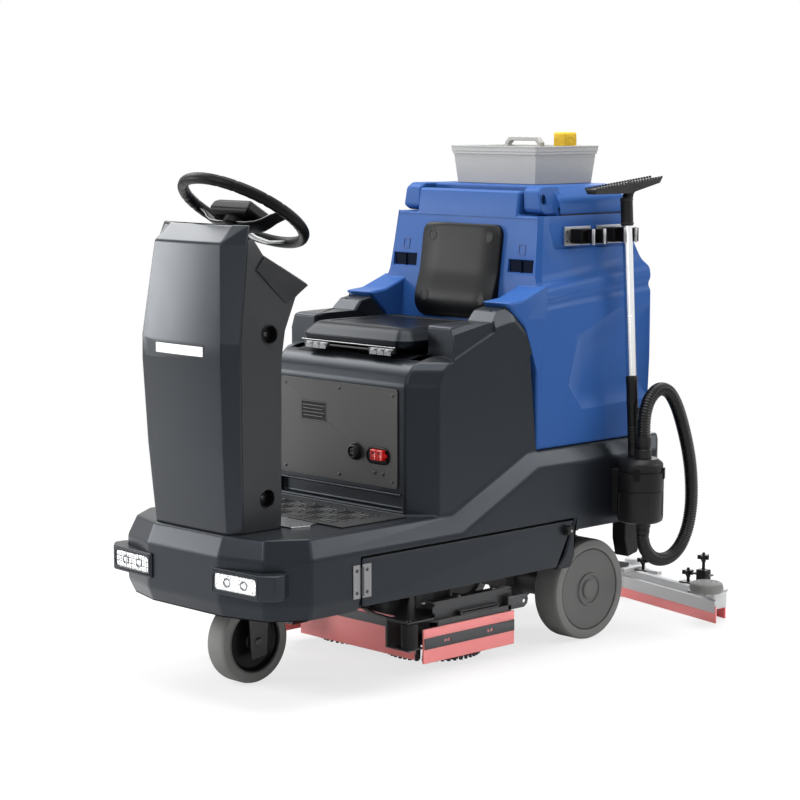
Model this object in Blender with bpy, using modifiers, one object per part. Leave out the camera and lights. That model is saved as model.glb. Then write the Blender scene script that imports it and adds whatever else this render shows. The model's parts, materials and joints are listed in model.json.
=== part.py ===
"""Ride-on floor scrubber-dryer.

Metres, +Z up, floor at Z = 0. The machine drives towards -Y, its left side is +X.
The origin lies on the floor under the middle of the machine.
"""
import math

import bmesh
import bpy
from mathutils import Matrix, Vector

MODEL_NAME = "ride_on_scrubber"
GAP = 0.0003            # between faces that touch on the real machine
ROUND_STEPS = 24        # sides of a turned piece
SMALL_STEPS = 12        # sides of a small turned piece

# ---- wheels -------------------------------------------------------------------
REAR_RADIUS = 0.1275
REAR_WIDTH = 0.076
REAR_FACE_X = 0.268     # outer face of a rear wheel
REAR_AXLE_Y = 0.3025
FRONT_RADIUS = 0.100
FRONT_WIDTH = 0.060
FRONT_AXLE_Y = -0.599
HUB_BORE = 0.010
AXLE_PLAY = 0.0006      # running clearance on a shaft

# ---- lower body ---------------------------------------------------------------
BODY_HALF_WIDTH = 0.305     # widest, at the side panels
UPPER_HALF_WIDTH = 0.285    # seat housing and tank sides
NOSE_Y = -0.790             # front face of the bumper
TAIL_Y = 0.540              # rear face of the body
DECK_BOTTOM = 0.200
DECK_TOP = 0.384
RIM_DROP = 0.047            # height of the sloping band round the deck
RIM_INSET = 0.020
DECK_FLOOR = 0.034          # thickness of the moulded platform
DECK_WALL = 0.010
NOSE_HALF = 0.127           # half of the straight front facet
CORNER_1 = (0.245, 0.033)   # half width and set-back of the first front corner
CORNER_2 = (BODY_HALF_WIDTH, 0.122)
HOUSING_FRONT_Y = -0.308    # front wall of the seat housing
HOUSING_CORNER = 0.055      # chamfer of its upright front edges
HOUSING_TOP = 0.765
TANK_FLOOR = 0.505          # where the recovery tank sits
ARCH_Z = 0.295              # lower edge of the body behind the doors
ARCH_Y = 0.205              # front of the wheel arch
WELL = dict(half=0.190, front=-0.262, back=0.045, floor=0.400)   # battery well

# ---- frame --------------------------------------------------------------------
RAIL_X = 0.105
RAIL_WIDTH = 0.030
RAIL_HEIGHT = 0.038
RAIL_FRONT = -0.700
RAIL_REAR = 0.500

# ---- steering -----------------------------------------------------------------
WHEEL_CENTRE = Vector((0.0, -0.600, 1.0975))
WHEEL_TILT = math.radians(31.2)
WHEEL_OUTER = 0.163
WHEEL_GRIP = 0.0135         # radius of the rim's section
HUB_LOW = -0.046             # underside and top of the hub, along the wheel's axis
HUB_HIGH = -0.028
SHAFT_RADIUS = 0.010
COLUMN_BOTTOM = DECK_TOP + GAP
COLUMN_WALL = 0.005
SEAM_GAP = 0.0008

# ---- doors --------------------------------------------------------------------
DOOR_FRONT = -0.515
DOOR_REAR_TOP = 0.198
DOOR_REAR_LOW = 0.137
DOOR_LOW = 0.212
DOOR_HIGH = 0.322
DOOR_THICK = 0.012
DOOR_GAP = 0.004

# ---- tank ---------------------------------------------------------------------
TANK_FRONT = 0.085
TANK_SHOULDER_Z = 0.880
TANK_TOP = 1.068
TANK_WALL = 0.008
LID_TOP = TANK_TOP + 0.072
LID_PIVOT = (0.170, TANK_TOP + 0.044)   # Y, Z of the lid's pin

# ---- seat ---------------------------------------------------------------------
SEAT_PIVOT = (-0.275, HOUSING_TOP - 0.003)   # Y, Z of the seat hinge
SEAT_HALF = 0.186

# ---- brush deck ---------------------------------------------------------------
DECK_Y0, DECK_Y1 = -0.255, 0.040
BRUSH_Y = -0.108
BRUSH_TIP_Z = 0.012
PLATE_Z = 0.118             # underside of the deck plate
PLATE_THICK = 0.006
SKIRT_LOW = 0.027
SKIRT_X = 0.250
BRUSH_X = (SKIRT_X - 0.008) / 2
BRUSH_RADIUS = BRUSH_X - 0.004
MAST_HALF = 0.020           # half width of the mast that runs in the frame's guides

# ---- squeegee -----------------------------------------------------------------
BAR_SWEEP = math.radians(12.0)
BAR_CENTRE_Y = 0.754
BAR_HALF = 0.368
BAR_Z0, BAR_Z1 = 0.032, 0.082
BAR_DEPTH = 0.056
BLADE_THICK = 0.004
ARM_PIVOT = (0.495, 0.200)  # Y, Z of the lift pivot
SWIVEL_Y = BAR_CENTRE_Y - 0.030
ROLLER_RADIUS = 0.044
ARM_HALF = 0.022            # half width of the lift arm

# ---- vacuum wand --------------------------------------------------------------
CAN_X, CAN_Y = BODY_HALF_WIDTH + 0.067, 0.370
CAN_RADIUS = 0.058
CAN_Z0, CAN_Z1 = 0.306, 0.466
CUFF_TOP, CUFF_LOW = 0.054, 0.026   # lengths of the hose cuffs
HOSE_DIAMETER = 0.034
PORT = (CAN_X + 0.011, CAN_Y - 0.003)
WAND_FOOT = (CAN_X - 0.027, CAN_Y + 0.005)
CLIP_Z = 1.018
WAND_CLIP = (BODY_HALF_WIDTH + 0.008, 0.378)


# ---- helpers ------------------------------------------------------------------
def clear_scene():
    for old in list(bpy.data.objects):
        bpy.data.objects.remove(old, do_unlink=True)


def collection(name):
    made = bpy.data.collections.new(name)
    bpy.context.scene.collection.children.link(made)
    return made


def material(name, colour, roughness=0.5, metallic=0.0):
    made = bpy.data.materials.new(name)
    made.use_nodes = True
    shader = made.node_tree.nodes["Principled BSDF"]
    shader.inputs["Base Color"].default_value = (*colour, 1.0)
    shader.inputs["Roughness"].default_value = roughness
    shader.inputs["Metallic"].default_value = metallic
    return made


clear_scene()
MODEL = collection(MODEL_NAME)
BODY_PLASTIC = material("body_plastic", (0.045, 0.050, 0.058), 0.45)
BLACK_PLASTIC = material("black_plastic", (0.012, 0.012, 0.013), 0.5)
BLUE_PLASTIC = material("blue_plastic", (0.045, 0.125, 0.42), 0.5)
GREY_PLASTIC = material("grey_plastic", (0.48, 0.49, 0.49), 0.5)
RUBBER = material("rubber", (0.02, 0.02, 0.02), 0.8)
TYRE = material("tyre", (0.16, 0.16, 0.155), 0.6)
STEEL = material("steel", (0.30, 0.30, 0.30), 0.4, 1.0)
ALUMINIUM = material("aluminium", (0.75, 0.76, 0.77), 0.25, 1.0)
PANEL_GREY = material("panel_grey", (0.09, 0.09, 0.09), 0.5)
BLADE_RED = material("blade_red", (0.85, 0.12, 0.11), 0.4)
YELLOW = material("yellow", (0.85, 0.62, 0.03), 0.6)
LENS = material("lens", (0.85, 0.87, 0.88), 0.1)


def add_mesh(name, bm, finish):
    mesh = bpy.data.meshes.new(name)
    bmesh.ops.recalc_face_normals(bm, faces=bm.faces)
    bm.to_mesh(mesh)
    bm.free()
    made = bpy.data.objects.new(name, mesh)
    made.data.materials.append(finish)
    MODEL.objects.link(made)
    return made


def freeze(made, weld=1e-6):
    """Replace an object by its evaluated mesh, in world space."""
    graph = bpy.context.evaluated_depsgraph_get()
    graph.update()
    mesh = bpy.data.meshes.new_from_object(made.evaluated_get(graph))
    mesh.transform(made.matrix_world)
    finish = made.data.materials[0]
    name = made.name
    bpy.data.objects.remove(made, do_unlink=True)
    bm = bmesh.new()
    bm.from_mesh(mesh)
    bmesh.ops.remove_doubles(bm, verts=bm.verts, dist=weld)
    bmesh.ops.recalc_face_normals(bm, faces=bm.faces)
    bm.to_mesh(mesh)
    bm.free()
    mesh.materials.clear()
    mesh.materials.append(finish)
    solid = bpy.data.objects.new(name, mesh)
    MODEL.objects.link(solid)
    return solid


def box(name, corner, opposite, finish, bevel=0.0, segments=1):
    spans = list(zip(corner, opposite))
    low, high = Vector([min(s) for s in spans]), Vector([max(s) for s in spans])
    bm = bmesh.new()
    bmesh.ops.create_cube(bm, size=1.0)
    size = high - low
    centre = (high + low) / 2
    for vert in bm.verts:
        vert.co = Vector(a * b for a, b in zip(vert.co, size)) + centre
    made = add_mesh(name, bm, finish)
    if bevel:
        round_edges(made, bevel, segments)
        made = freeze(made)
    return made


def round_edges(made, width, segments=1, angle=30.0):
    rounding = made.modifiers.new("edges", "BEVEL")
    rounding.width = width
    rounding.segments = segments
    rounding.limit_method = "ANGLE"
    rounding.angle_limit = math.radians(angle)


AXES = {
    "X": Matrix(((0, 0, 1), (1, 0, 0), (0, 1, 0))),
    "Y": Matrix(((1, 0, 0), (0, 0, -1), (0, 1, 0))),
    "Z": Matrix.Identity(3),
}


def prism(name, outline, axis, low, high, finish, bevel=0.0, segments=1):
    """A flat outline given a thickness: (y, z) along X, (x, z) along Y, (x, y) along Z."""
    data = bpy.data.curves.new(name, "CURVE")
    data.dimensions = "2D"
    data.fill_mode = "BOTH"
    data.extrude = (high - low) / 2
    spline = data.splines.new("POLY")
    spline.points.add(len(outline) - 1)
    for point, (a, b) in zip(spline.points, outline):
        point.co = (a, b, 0.0, 1.0)
    spline.use_cyclic_u = True
    data.materials.append(finish)
    made = bpy.data.objects.new(name, data)
    MODEL.objects.link(made)
    turn = AXES[axis]
    middle = (low + high) / 2
    made.matrix_world = Matrix.Translation(turn @ Vector((0, 0, middle * (-1 if axis == "Y" else 1)))
                                           ) @ turn.to_4x4()
    made = freeze(made)
    if bevel:
        round_edges(made, bevel, segments)
        made = freeze(made)
    return made


def loft(name, rings, finish):
    """A closed skin through rings that have the same number of points."""
    bm = bmesh.new()
    rows = [[bm.verts.new(p) for p in ring] for ring in rings]
    count = len(rows[0])
    for below, above in zip(rows, rows[1:]):
        for i in range(count):
            j = (i + 1) % count
            bm.faces.new((below[i], below[j], above[j], above[i]))
    bm.faces.new(rows[0][::-1])
    bm.faces.new(rows[-1])
    made = add_mesh(name, bm, finish)
    return made


def turned(name, profile, place, finish, steps=ROUND_STEPS, closed=False):
    """A profile of (radius, height) from top to bottom, turned about local Z."""
    bm = bmesh.new()
    verts = [bm.verts.new((r, 0.0, h)) for r, h in profile]
    for a, b in zip(verts, verts[1:]):
        bm.edges.new((a, b))
    if closed:
        bm.edges.new((verts[-1], verts[0]))
    mesh = bpy.data.meshes.new(name)
    bm.to_mesh(mesh)
    bm.free()
    mesh.materials.append(finish)
    made = bpy.data.objects.new(name, mesh)
    MODEL.objects.link(made)
    screw = made.modifiers.new("turn", "SCREW")
    screw.steps = steps
    screw.render_steps = steps
    screw.use_merge_vertices = True
    screw.merge_threshold = 0.00005
    made.matrix_world = place
    return freeze(made)


def at(x, y, z, axis=(0, 0, 1)):
    """A frame at a point, with its local Z along an axis."""
    return Matrix.Translation((x, y, z)) @ Vector((0, 0, 1)).rotation_difference(
        Vector(axis)).to_matrix().to_4x4()


def disc(name, radius, low, high, place, finish, steps=ROUND_STEPS):
    return turned(name, [(0, high), (radius, high), (radius, low), (0, low)], place, finish, steps)


def ring_solid(name, inner, outer, low, high, place, finish, steps=ROUND_STEPS):
    profile = [(inner, high), (outer, high), (outer, low), (inner, low)]
    return turned(name, profile, place, finish, steps, closed=True)


def tube(name, points, radius, finish, resolution=2):
    data = bpy.data.curves.new(name, "CURVE")
    data.dimensions = "3D"
    data.bevel_depth = radius
    data.bevel_resolution = resolution
    data.use_fill_caps = True
    spline = data.splines.new("POLY")
    spline.points.add(len(points) - 1)
    for point, place in zip(spline.points, points):
        point.co = (*place, 1.0)
    data.materials.append(finish)
    made = bpy.data.objects.new(name, data)
    MODEL.objects.link(made)
    return freeze(made)


def boolean(made, tools, operation):
    for tool in tools:
        step = made.modifiers.new(operation.lower(), "BOOLEAN")
        step.operation = operation
        step.object = tool
        step.solver = "EXACT"
    result = freeze(made)
    for tool in tools:
        bpy.data.objects.remove(tool, do_unlink=True)
    return result


def cut(made, *tools):
    return boolean(made, tools, "DIFFERENCE")


def join(made, *tools):
    return boolean(made, tools, "UNION")


def mirrored(made, name):
    """A copy on the other side of the machine, with its faces still pointing out."""
    mesh = made.data.copy()
    mesh.transform(Matrix.Scale(-1, 4, (1, 0, 0)))
    mesh.flip_normals()
    twin = bpy.data.objects.new(name, mesh)
    MODEL.objects.link(twin)
    return twin


def set_pivot(made, point):
    """Put the object's origin on its joint."""
    made.data.transform(Matrix.Translation(-Vector(point)))
    made.matrix_world = Matrix.Translation(point)
    return made


def both_sides(half):
    """A closed outline from its +X half, front to back."""
    return half + [(-x, y) for x, y in reversed(half) if x > 1e-6]


def level(half, z):
    return [(x, y, z) for x, y in both_sides(half)]


# ---- lower body ---------------------------------------------------------------
def deck_half(inset, rear):
    """Half outline of the platform, set in by `inset`."""
    slant = inset * 0.8
    return [(NOSE_HALF - slant * 0.2, NOSE_Y + inset),
            (CORNER_1[0] - slant, NOSE_Y + CORNER_1[1] + slant),
            (CORNER_2[0] - inset, NOSE_Y + CORNER_2[1] + slant * 0.5),
            (BODY_HALF_WIDTH - inset, rear)]


def make_body():
    """One moulding: platform, bumper, seat housing, fenders and rear deck."""
    band = DECK_TOP - RIM_DROP
    body = loft("body_shell", [level(deck_half(i, ARCH_Y), z) for i, z in (
        (0.014, DECK_BOTTOM), (0.0, DECK_BOTTOM + 0.034), (0.0, band), (RIM_INSET, DECK_TOP))],
        BODY_PLASTIC)

    outer = [(-0.215, 0.300), (-0.190, band), (0.070, TANK_FLOOR - 0.040),
             (TAIL_Y - 0.025, TANK_FLOOR - 0.040), (TAIL_Y - 0.025, ARCH_Z), (ARCH_Y - 0.02, ARCH_Z)]
    inner = [(-0.235, 0.300), (-0.212, DECK_TOP), (0.045, TANK_FLOOR),
             (TAIL_Y, TANK_FLOOR), (TAIL_Y, ARCH_Z), (ARCH_Y - 0.02, ARCH_Z)]
    bulge = loft("bulge", [[(x, y, z) for y, z in side] for x, side in (
        (-BODY_HALF_WIDTH, outer), (-UPPER_HALF_WIDTH, inner),
        (UPPER_HALF_WIDTH, inner), (BODY_HALF_WIDTH, outer))], BODY_PLASTIC)

    front, top = HOUSING_FRONT_Y, HOUSING_TOP
    profile = [(front, 0.350), (front, top - 0.075), (front + 0.012, top - 0.043),
               (front + 0.036, top - 0.023), (front + 0.080, top - 0.013), (TANK_FRONT - 0.030, top),
               (TANK_FRONT - 0.004, TANK_FLOOR),
               (TANK_FRONT + 0.030, 0.350)]
    setback = [HOUSING_CORNER] * 5 + [0.0, 0.0, 0.0]
    corner = [(y + s, z) for (y, z), s in zip(profile, setback)]
    edge = UPPER_HALF_WIDTH - HOUSING_CORNER
    housing = loft("housing", [[(x, y, z) for y, z in side] for x, side in (
        (-UPPER_HALF_WIDTH, corner), (-edge, profile), (edge, profile), (UPPER_HALF_WIDTH, corner))],
        BODY_PLASTIC)
    body = join(body, bulge, housing)

    for side in (1, -1):
        body = join(body, make_fender(side))

    well = box("well", (-WELL["half"], WELL["front"], WELL["floor"]),
               (WELL["half"], WELL["back"], top + 0.05), BODY_PLASTIC)
    belly = loft("belly", [level(deck_half(DECK_WALL + i, DOOR_REAR_LOW), z) for i, z in (
        (0.014, DECK_BOTTOM - 0.01), (0.0, DECK_BOTTOM + 0.034), (0.0, DECK_TOP - DECK_FLOOR))],
        BODY_PLASTIC)
    rear_bay = box("rear_bay", (-UPPER_HALF_WIDTH + DECK_WALL, DOOR_REAR_LOW - 0.05, DECK_BOTTOM - 0.01),
                   (UPPER_HALF_WIDTH - DECK_WALL, TAIL_Y - DECK_WALL, DECK_TOP - DECK_FLOOR),
                   BODY_PLASTIC)
    body = cut(body, well, belly, rear_bay)

    for side in (1, -1):
        opening = prism("opening", door_outline(DOOR_GAP), "X", *sorted(
            (side * (BODY_HALF_WIDTH - 0.040), side * (BODY_HALF_WIDTH + 0.020))), BODY_PLASTIC)
        body = cut(body, opening)
    return body


def make_fender(side):
    """The raised block beside the seat."""
    inside, outside = SEAT_HALF + 0.010, UPPER_HALF_WIDTH - 0.012
    front, back = -0.205, TANK_FRONT - 0.012
    rings = []
    top, foot = HOUSING_TOP, HOUSING_TOP - 0.025
    for y, z in ((front, top + 0.057), (-0.012, top + 0.093), (0.004, top + 0.093), (back, top + 0.035)):
        rings.append([(side * inside, y, foot), (side * UPPER_HALF_WIDTH, y, foot),
                      (side * UPPER_HALF_WIDTH, y, z - 0.035), (side * outside, y, z),
                      (side * inside, y, z)])
    return loft("fender", rings, BODY_PLASTIC)


def door_outline(grow):
    """Side door, (y, z). `grow` widens it on every side for the opening."""
    return [(DOOR_FRONT - grow, DOOR_LOW - 0.030 - grow), (DOOR_REAR_LOW + grow, DOOR_LOW - 0.030 - grow),
            (DOOR_REAR_TOP + grow, DOOR_HIGH + grow), (DOOR_FRONT - grow, DOOR_HIGH + grow)
            ] if grow else [
            (DOOR_FRONT, DOOR_LOW), (DOOR_REAR_LOW, DOOR_LOW),
            (DOOR_REAR_TOP, DOOR_HIGH), (DOOR_FRONT, DOOR_HIGH)]


def make_doors():
    outer = BODY_HALF_WIDTH
    door = prism("side_door_left", door_outline(0.0), "X", outer - DOOR_THICK, outer, BODY_PLASTIC,
                 bevel=0.002)
    knob_y, knob_z = DOOR_REAR_TOP - 0.026, DOOR_HIGH - 0.022
    place = at(outer + GAP, knob_y, knob_z, (1, 0, 0))
    knob = turned("door_knob_left", [(0, 0.016), (0.011, 0.016), (0.013, 0.011), (0.010, 0.004),
                                     (0.007, 0), (0, 0)], place, BLACK_PLASTIC, SMALL_STEPS)
    hinge = (outer + 0.004, DOOR_FRONT - 0.004, (DOOR_LOW + DOOR_HIGH) / 2)
    low, high = hinge[2] - 0.025, hinge[2] + 0.025
    barrel = disc("barrel", 0.004 - GAP, low, high, at(hinge[0], hinge[1], 0), BODY_PLASTIC, SMALL_STEPS)
    leaf = box("leaf", (outer - 0.001, hinge[1] + 0.001, low), (outer + 0.003, DOOR_FRONT + 0.020, high),
               BODY_PLASTIC)
    door = join(door, leaf, barrel)
    twin_door = mirrored(door, "side_door_right")
    twin_knob = mirrored(knob, "door_knob_right")
    set_pivot(door, hinge)
    set_pivot(twin_door, (-hinge[0], hinge[1], hinge[2]))
    set_pivot(knob, (outer, knob_y, knob_z))
    set_pivot(twin_knob, (-outer, knob_y, knob_z))


def make_frame():
    """Ladder frame with the steering head in front and the squeegee pivot behind."""
    top = DECK_TOP - DECK_FLOOR - GAP
    low = top - RAIL_HEIGHT
    inner, outer = RAIL_X - RAIL_WIDTH / 2, RAIL_X + RAIL_WIDTH / 2
    frame = box("chassis_frame", (inner, RAIL_FRONT, low), (outer, RAIL_REAR, top), STEEL)
    parts = [box("rail", (-outer, RAIL_FRONT, low), (-inner, RAIL_REAR, top), STEEL)]
    for y in (RAIL_FRONT, FRONT_AXLE_Y - 0.020, BRUSH_Y - 0.020, DOOR_REAR_LOW, RAIL_REAR - 0.040):
        parts.append(box("cross", (-inner - 0.01, y, low + 0.004), (inner + 0.01, y + 0.040, top - 0.002),
                         STEEL))
    bracket_x = REAR_FACE_X - REAR_WIDTH - 0.030
    for side in (1, -1):
        parts.append(box("axle_mount", (side * (RAIL_X - 0.01), REAR_AXLE_Y - 0.050, REAR_RADIUS + 0.050),
                         (side * bracket_x, REAR_AXLE_Y - 0.040, top - 0.004), STEEL))
        parts.append(box("lift_ear", (side * (ARM_HALF + GAP), RAIL_REAR - 0.030, ARM_PIVOT[1] - 0.020),
                         (side * (ARM_HALF + 0.008), RAIL_REAR + 0.010, low + 0.010), STEEL))
        parts.append(box("deck_guide", (side * (MAST_HALF + GAP), BRUSH_Y - 0.020, 0.180),
                         (side * (MAST_HALF + 0.006), BRUSH_Y + 0.020, low + 0.010), STEEL))
    frame = join(frame, *parts)
    head = at(0, FRONT_AXLE_Y, 0)
    return cut(frame, disc("bore", SHAFT_RADIUS + 0.006 + AXLE_PLAY, low - 0.02, top + 0.02, head, STEEL))


def make_floor():
    top = DECK_TOP + GAP
    half = UPPER_HALF_WIDTH - 0.040
    prism("floor_mat", [(-half, HOUSING_FRONT_Y - 0.012), (half, HOUSING_FRONT_Y - 0.012),
                              (half, FRONT_AXLE_Y + 0.075), (-half, FRONT_AXLE_Y + 0.075)],
                "Z", top, top + 0.004, RUBBER, bevel=0.001)
    plate = box("pedal_plate", (-0.165, FRONT_AXLE_Y - 0.008, top), (0.165, FRONT_AXLE_Y + 0.070, top + 0.003),
                ALUMINIUM)
    tread_y, lift = FRONT_AXLE_Y + 0.060, 0.016
    pivot = (-0.095, tread_y, top + lift)
    slope = [(tread_y + 0.004, top + lift - 0.006), (tread_y + 0.004, top + lift + 0.004),
             (tread_y - 0.040, top + 0.052), (tread_y - 0.046, top + 0.046)]
    pedal = prism("accelerator_pedal", slope, "X", pivot[0] - 0.035, pivot[0] + 0.035, STEEL)
    set_pivot(pedal, pivot)
    stand = box("stand", (pivot[0] - 0.030, tread_y - 0.002, top + 0.002),
                (pivot[0] + 0.030, tread_y + 0.006, top + lift - 0.006 - GAP), ALUMINIUM)
    join(plate, stand)


LAMP = dict(inner=0.108, outer=0.262, face_inner=-0.796, face_outer=-0.786, low=0.256, high=0.314,
            frame=0.011, lens=0.006)


def lamp_face(x, back=0.0):
    """A point on the slightly swept face of a headlamp."""
    share = (x - LAMP["inner"]) / (LAMP["outer"] - LAMP["inner"])
    return (x, LAMP["face_inner"] + (LAMP["face_outer"] - LAMP["face_inner"]) * share + back)


def lamp_window(play, front, back):
    """Plan of the lens or of its pocket."""
    x0, x1 = LAMP["inner"] + LAMP["frame"] + play, LAMP["outer"] - LAMP["frame"] - play
    return [lamp_face(x0, front), lamp_face(x1, front), lamp_face(x1, back), lamp_face(x0, back)]


def make_headlamps():
    """Two pods that wrap the bumper's corners, each with its own lens."""
    side_x = BODY_HALF_WIDTH - 0.015
    plan = [lamp_face(LAMP["inner"]), lamp_face(LAMP["outer"]), (side_x, -0.762), (side_x, -0.737),
            (side_x - 0.020, -0.700), (LAMP["inner"], -0.740)]
    pod = prism("headlamp_housing_left", plan, "Z", LAMP["low"], LAMP["high"], BODY_PLASTIC, bevel=0.003)
    nose = loft("nose", [level(deck_half(-GAP, ARCH_Y), z) for z in (DECK_BOTTOM, DECK_TOP)], BODY_PLASTIC)
    pod = cut(pod, nose)
    low, high = LAMP["low"] + LAMP["frame"], LAMP["high"] - LAMP["frame"]
    pocket = prism("pocket", lamp_window(0.0, -0.01, LAMP["lens"] + GAP), "Z", low, high, BODY_PLASTIC)
    pod = cut(pod, pocket)
    lens = prism("headlamp_lens_left", lamp_window(GAP, 0.0008, LAMP["lens"]), "Z", low + GAP, high - GAP, LENS)
    nose = loft("nose", [level(deck_half(-GAP, ARCH_Y), z) for z in (DECK_BOTTOM, DECK_TOP)], BODY_PLASTIC)
    lens = cut(lens, nose)
    mirrored(pod, "headlamp_housing_right")
    mirrored(lens, "headlamp_lens_right")


# ---- steering column ----------------------------------------------------------
def u_ring(path, wall, z):
    """A wall of even thickness along an open path that is symmetric about X = 0.

    `path` is the +X half, from the middle outwards; the wall lies inside it.
    """
    outer = [Vector(p) for p in path]
    inner = []
    for i, point in enumerate(outer):
        before = outer[i] - outer[i - 1] if i else Vector((1, 0))
        after = outer[i + 1] - outer[i] if i + 1 < len(outer) else before
        n1 = Vector((-before.y, before.x)).normalized()
        n2 = Vector((-after.y, after.x)).normalized()
        middle = (n1 + n2).normalized()
        inner.append(point + middle * wall / max(middle.dot(n1), 0.3))
    right = [(p.x, p.y) for p in outer]
    left = [(-x, y) for x, y in reversed(right)]
    back_right = [(p.x, p.y) for p in reversed(inner)]
    back_left = [(-p.x, p.y) for p in inner]
    return [(x, y, z) for x, y in left + right + back_right + back_left]


COVER_LEVELS = (
    # z, half width of the front facet, its Y, half width at the seam, Y of the seam
    (COLUMN_BOTTOM, 0.126, -0.764, 0.148, -0.737),
    (0.560, 0.134, -0.778, 0.157, -0.747),
    (0.770, 0.140, -0.788, 0.167, -0.757),
    (0.815, 0.140, -0.787, 0.167, -0.757),
    (1.034, 0.116, -0.764, 0.155, -0.725),
    (1.074, 0.108, -0.724, 0.149, -0.712),
)
CONSOLE_LEVELS = (
    # z, half width at the back, Y of the back
    (COLUMN_BOTTOM, 0.145, -0.612),
    (0.560, 0.154, -0.618),
    (0.770, 0.163, -0.624),
    (0.836, 0.162, -0.612),
    (0.914, 0.157, -0.573),
    (0.936, 0.155, -0.538),
    (0.979, 0.155, -0.617),
    (1.007, 0.153, -0.668),
    (1.042, 0.151, -0.697),
)
BEAK, SLOPE_END = 5, 6      # the console panel lies between these two levels


def make_column():
    cover = loft("column_front_cover", [
        u_ring([(0.030, y1), (x1, y1), (x2, y2), (x2 - 0.001, y2 + 0.006)], COLUMN_WALL, z)
        for z, x1, y1, x2, y2 in COVER_LEVELS], BODY_PLASTIC)
    flush = COVER_LEVELS[2][2]
    box("light_strip", (-0.083, flush + 0.001, 0.783), (0.083, flush - 0.0015, 0.805), LENS)
    recess = box("recess", (-0.083 - GAP, flush + 0.001 + GAP, 0.783 - GAP),
                 (0.083 + GAP, flush - 0.010, 0.805 + GAP), BODY_PLASTIC)
    cover = cut(cover, recess)

    heights = sorted({row[0] for row in CONSOLE_LEVELS} |
                     {row[0] for row in COVER_LEVELS if row[0] < CONSOLE_LEVELS[-1][0]})
    shell = loft("column_rear_cover", [console_ring(z) for z in heights], BODY_PLASTIC)
    axis = Vector((0, math.sin(WHEEL_TILT), math.cos(WHEEL_TILT)))
    place = at(*WHEEL_CENTRE, axis)
    boot_radius = 0.030
    shell = cut(shell, disc("hole", boot_radius + GAP, -0.170, -0.020, place, BODY_PLASTIC))

    bore = SHAFT_RADIUS + AXLE_PLAY
    boot_top = HUB_LOW - 0.004
    turned("steering_boot", [(bore, boot_top), (0.024, boot_top), (boot_radius, boot_top - 0.020),
                             (boot_radius, -0.128), (bore, -0.128)], place, BLACK_PLASTIC, closed=True)

    slope_low = Vector((0, CONSOLE_LEVELS[BEAK][2], CONSOLE_LEVELS[BEAK][0]))
    slope_high = Vector((0, CONSOLE_LEVELS[SLOPE_END][2], CONSOLE_LEVELS[SLOPE_END][0]))
    along = (slope_high - slope_low).normalized()
    out = Vector((0, -along.z, along.y))
    if out.z < 0:
        out = -out
    length = (slope_high - slope_low).length
    start, end = slope_low + along * 0.006, slope_low + along * (length - 0.003)
    base, thick = out * GAP, out * 0.0025
    corners = [start + base, end + base, end + base + thick, start + base + thick]
    panel = prism("console_panel", [(p.y, p.z) for p in corners], "X", -0.140, 0.140, GREY_PLASTIC)
    surface = base + thick + out * GAP

    def console_frame(x, share):
        spot = slope_low + along * length * share + surface
        return at(x, spot.y, spot.z, out)

    key = turned("key_switch", [(0, 0.016), (0.007, 0.016), (0.007, 0.006), (0.011, 0.005), (0.011, 0),
                                (0, 0)], console_frame(0.060, 0.45), BLACK_PLASTIC, SMALL_STEPS)
    set_pivot(key, console_frame(0.060, 0.45).translation)
    rocker_place = console_frame(-0.060, 0.45)
    half_x, half_y, play = 0.012, 0.009, 0.0006
    rocker = box("direction_switch", (-half_x, -half_y, -0.0005), (half_x, half_y, 0.0075), BLACK_PLASTIC)
    rocker.data.transform(rocker_place)
    set_pivot(rocker, rocker_place.translation)
    window = box("window", (-half_x - play, -half_y - play, -0.0028), (half_x + play, half_y + play, 0.01),
                 GREY_PLASTIC)
    window.data.transform(rocker_place)
    cut(panel, window)


def between(levels, z):
    """The row of a level table at height z."""
    for below, above in zip(levels, levels[1:]):
        if z <= above[0] + 1e-9:
            share = (z - below[0]) / (above[0] - below[0])
            return [a + (b - a) * share for a, b in zip(below, above)]
    return list(levels[-1])


def console_ring(z):
    """Section of the rear cover: side walls from the seam, and a back wall."""
    _, _, _, seam_x, seam_y = between(COVER_LEVELS, z)
    _, back_x, back_y = between(CONSOLE_LEVELS, z)
    wall, seam_x = COLUMN_WALL, seam_x - 0.002
    seam_y += SEAM_GAP + 0.006
    chamfer = 0.008 if back_y - seam_y > 0.030 else 0.004
    outer = [(seam_x, seam_y), (back_x, back_y - chamfer * 0.75), (back_x - chamfer, back_y)]
    inner = [(back_x - chamfer - wall, back_y - wall), (back_x - wall, back_y - wall - chamfer * 0.5),
             (seam_x - wall, seam_y)]
    ring = outer + [(-x, y) for x, y in reversed(outer)] + [(-x, y) for x, y in reversed(inner)] + inner
    return [(x, y, z) for x, y in ring]


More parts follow.
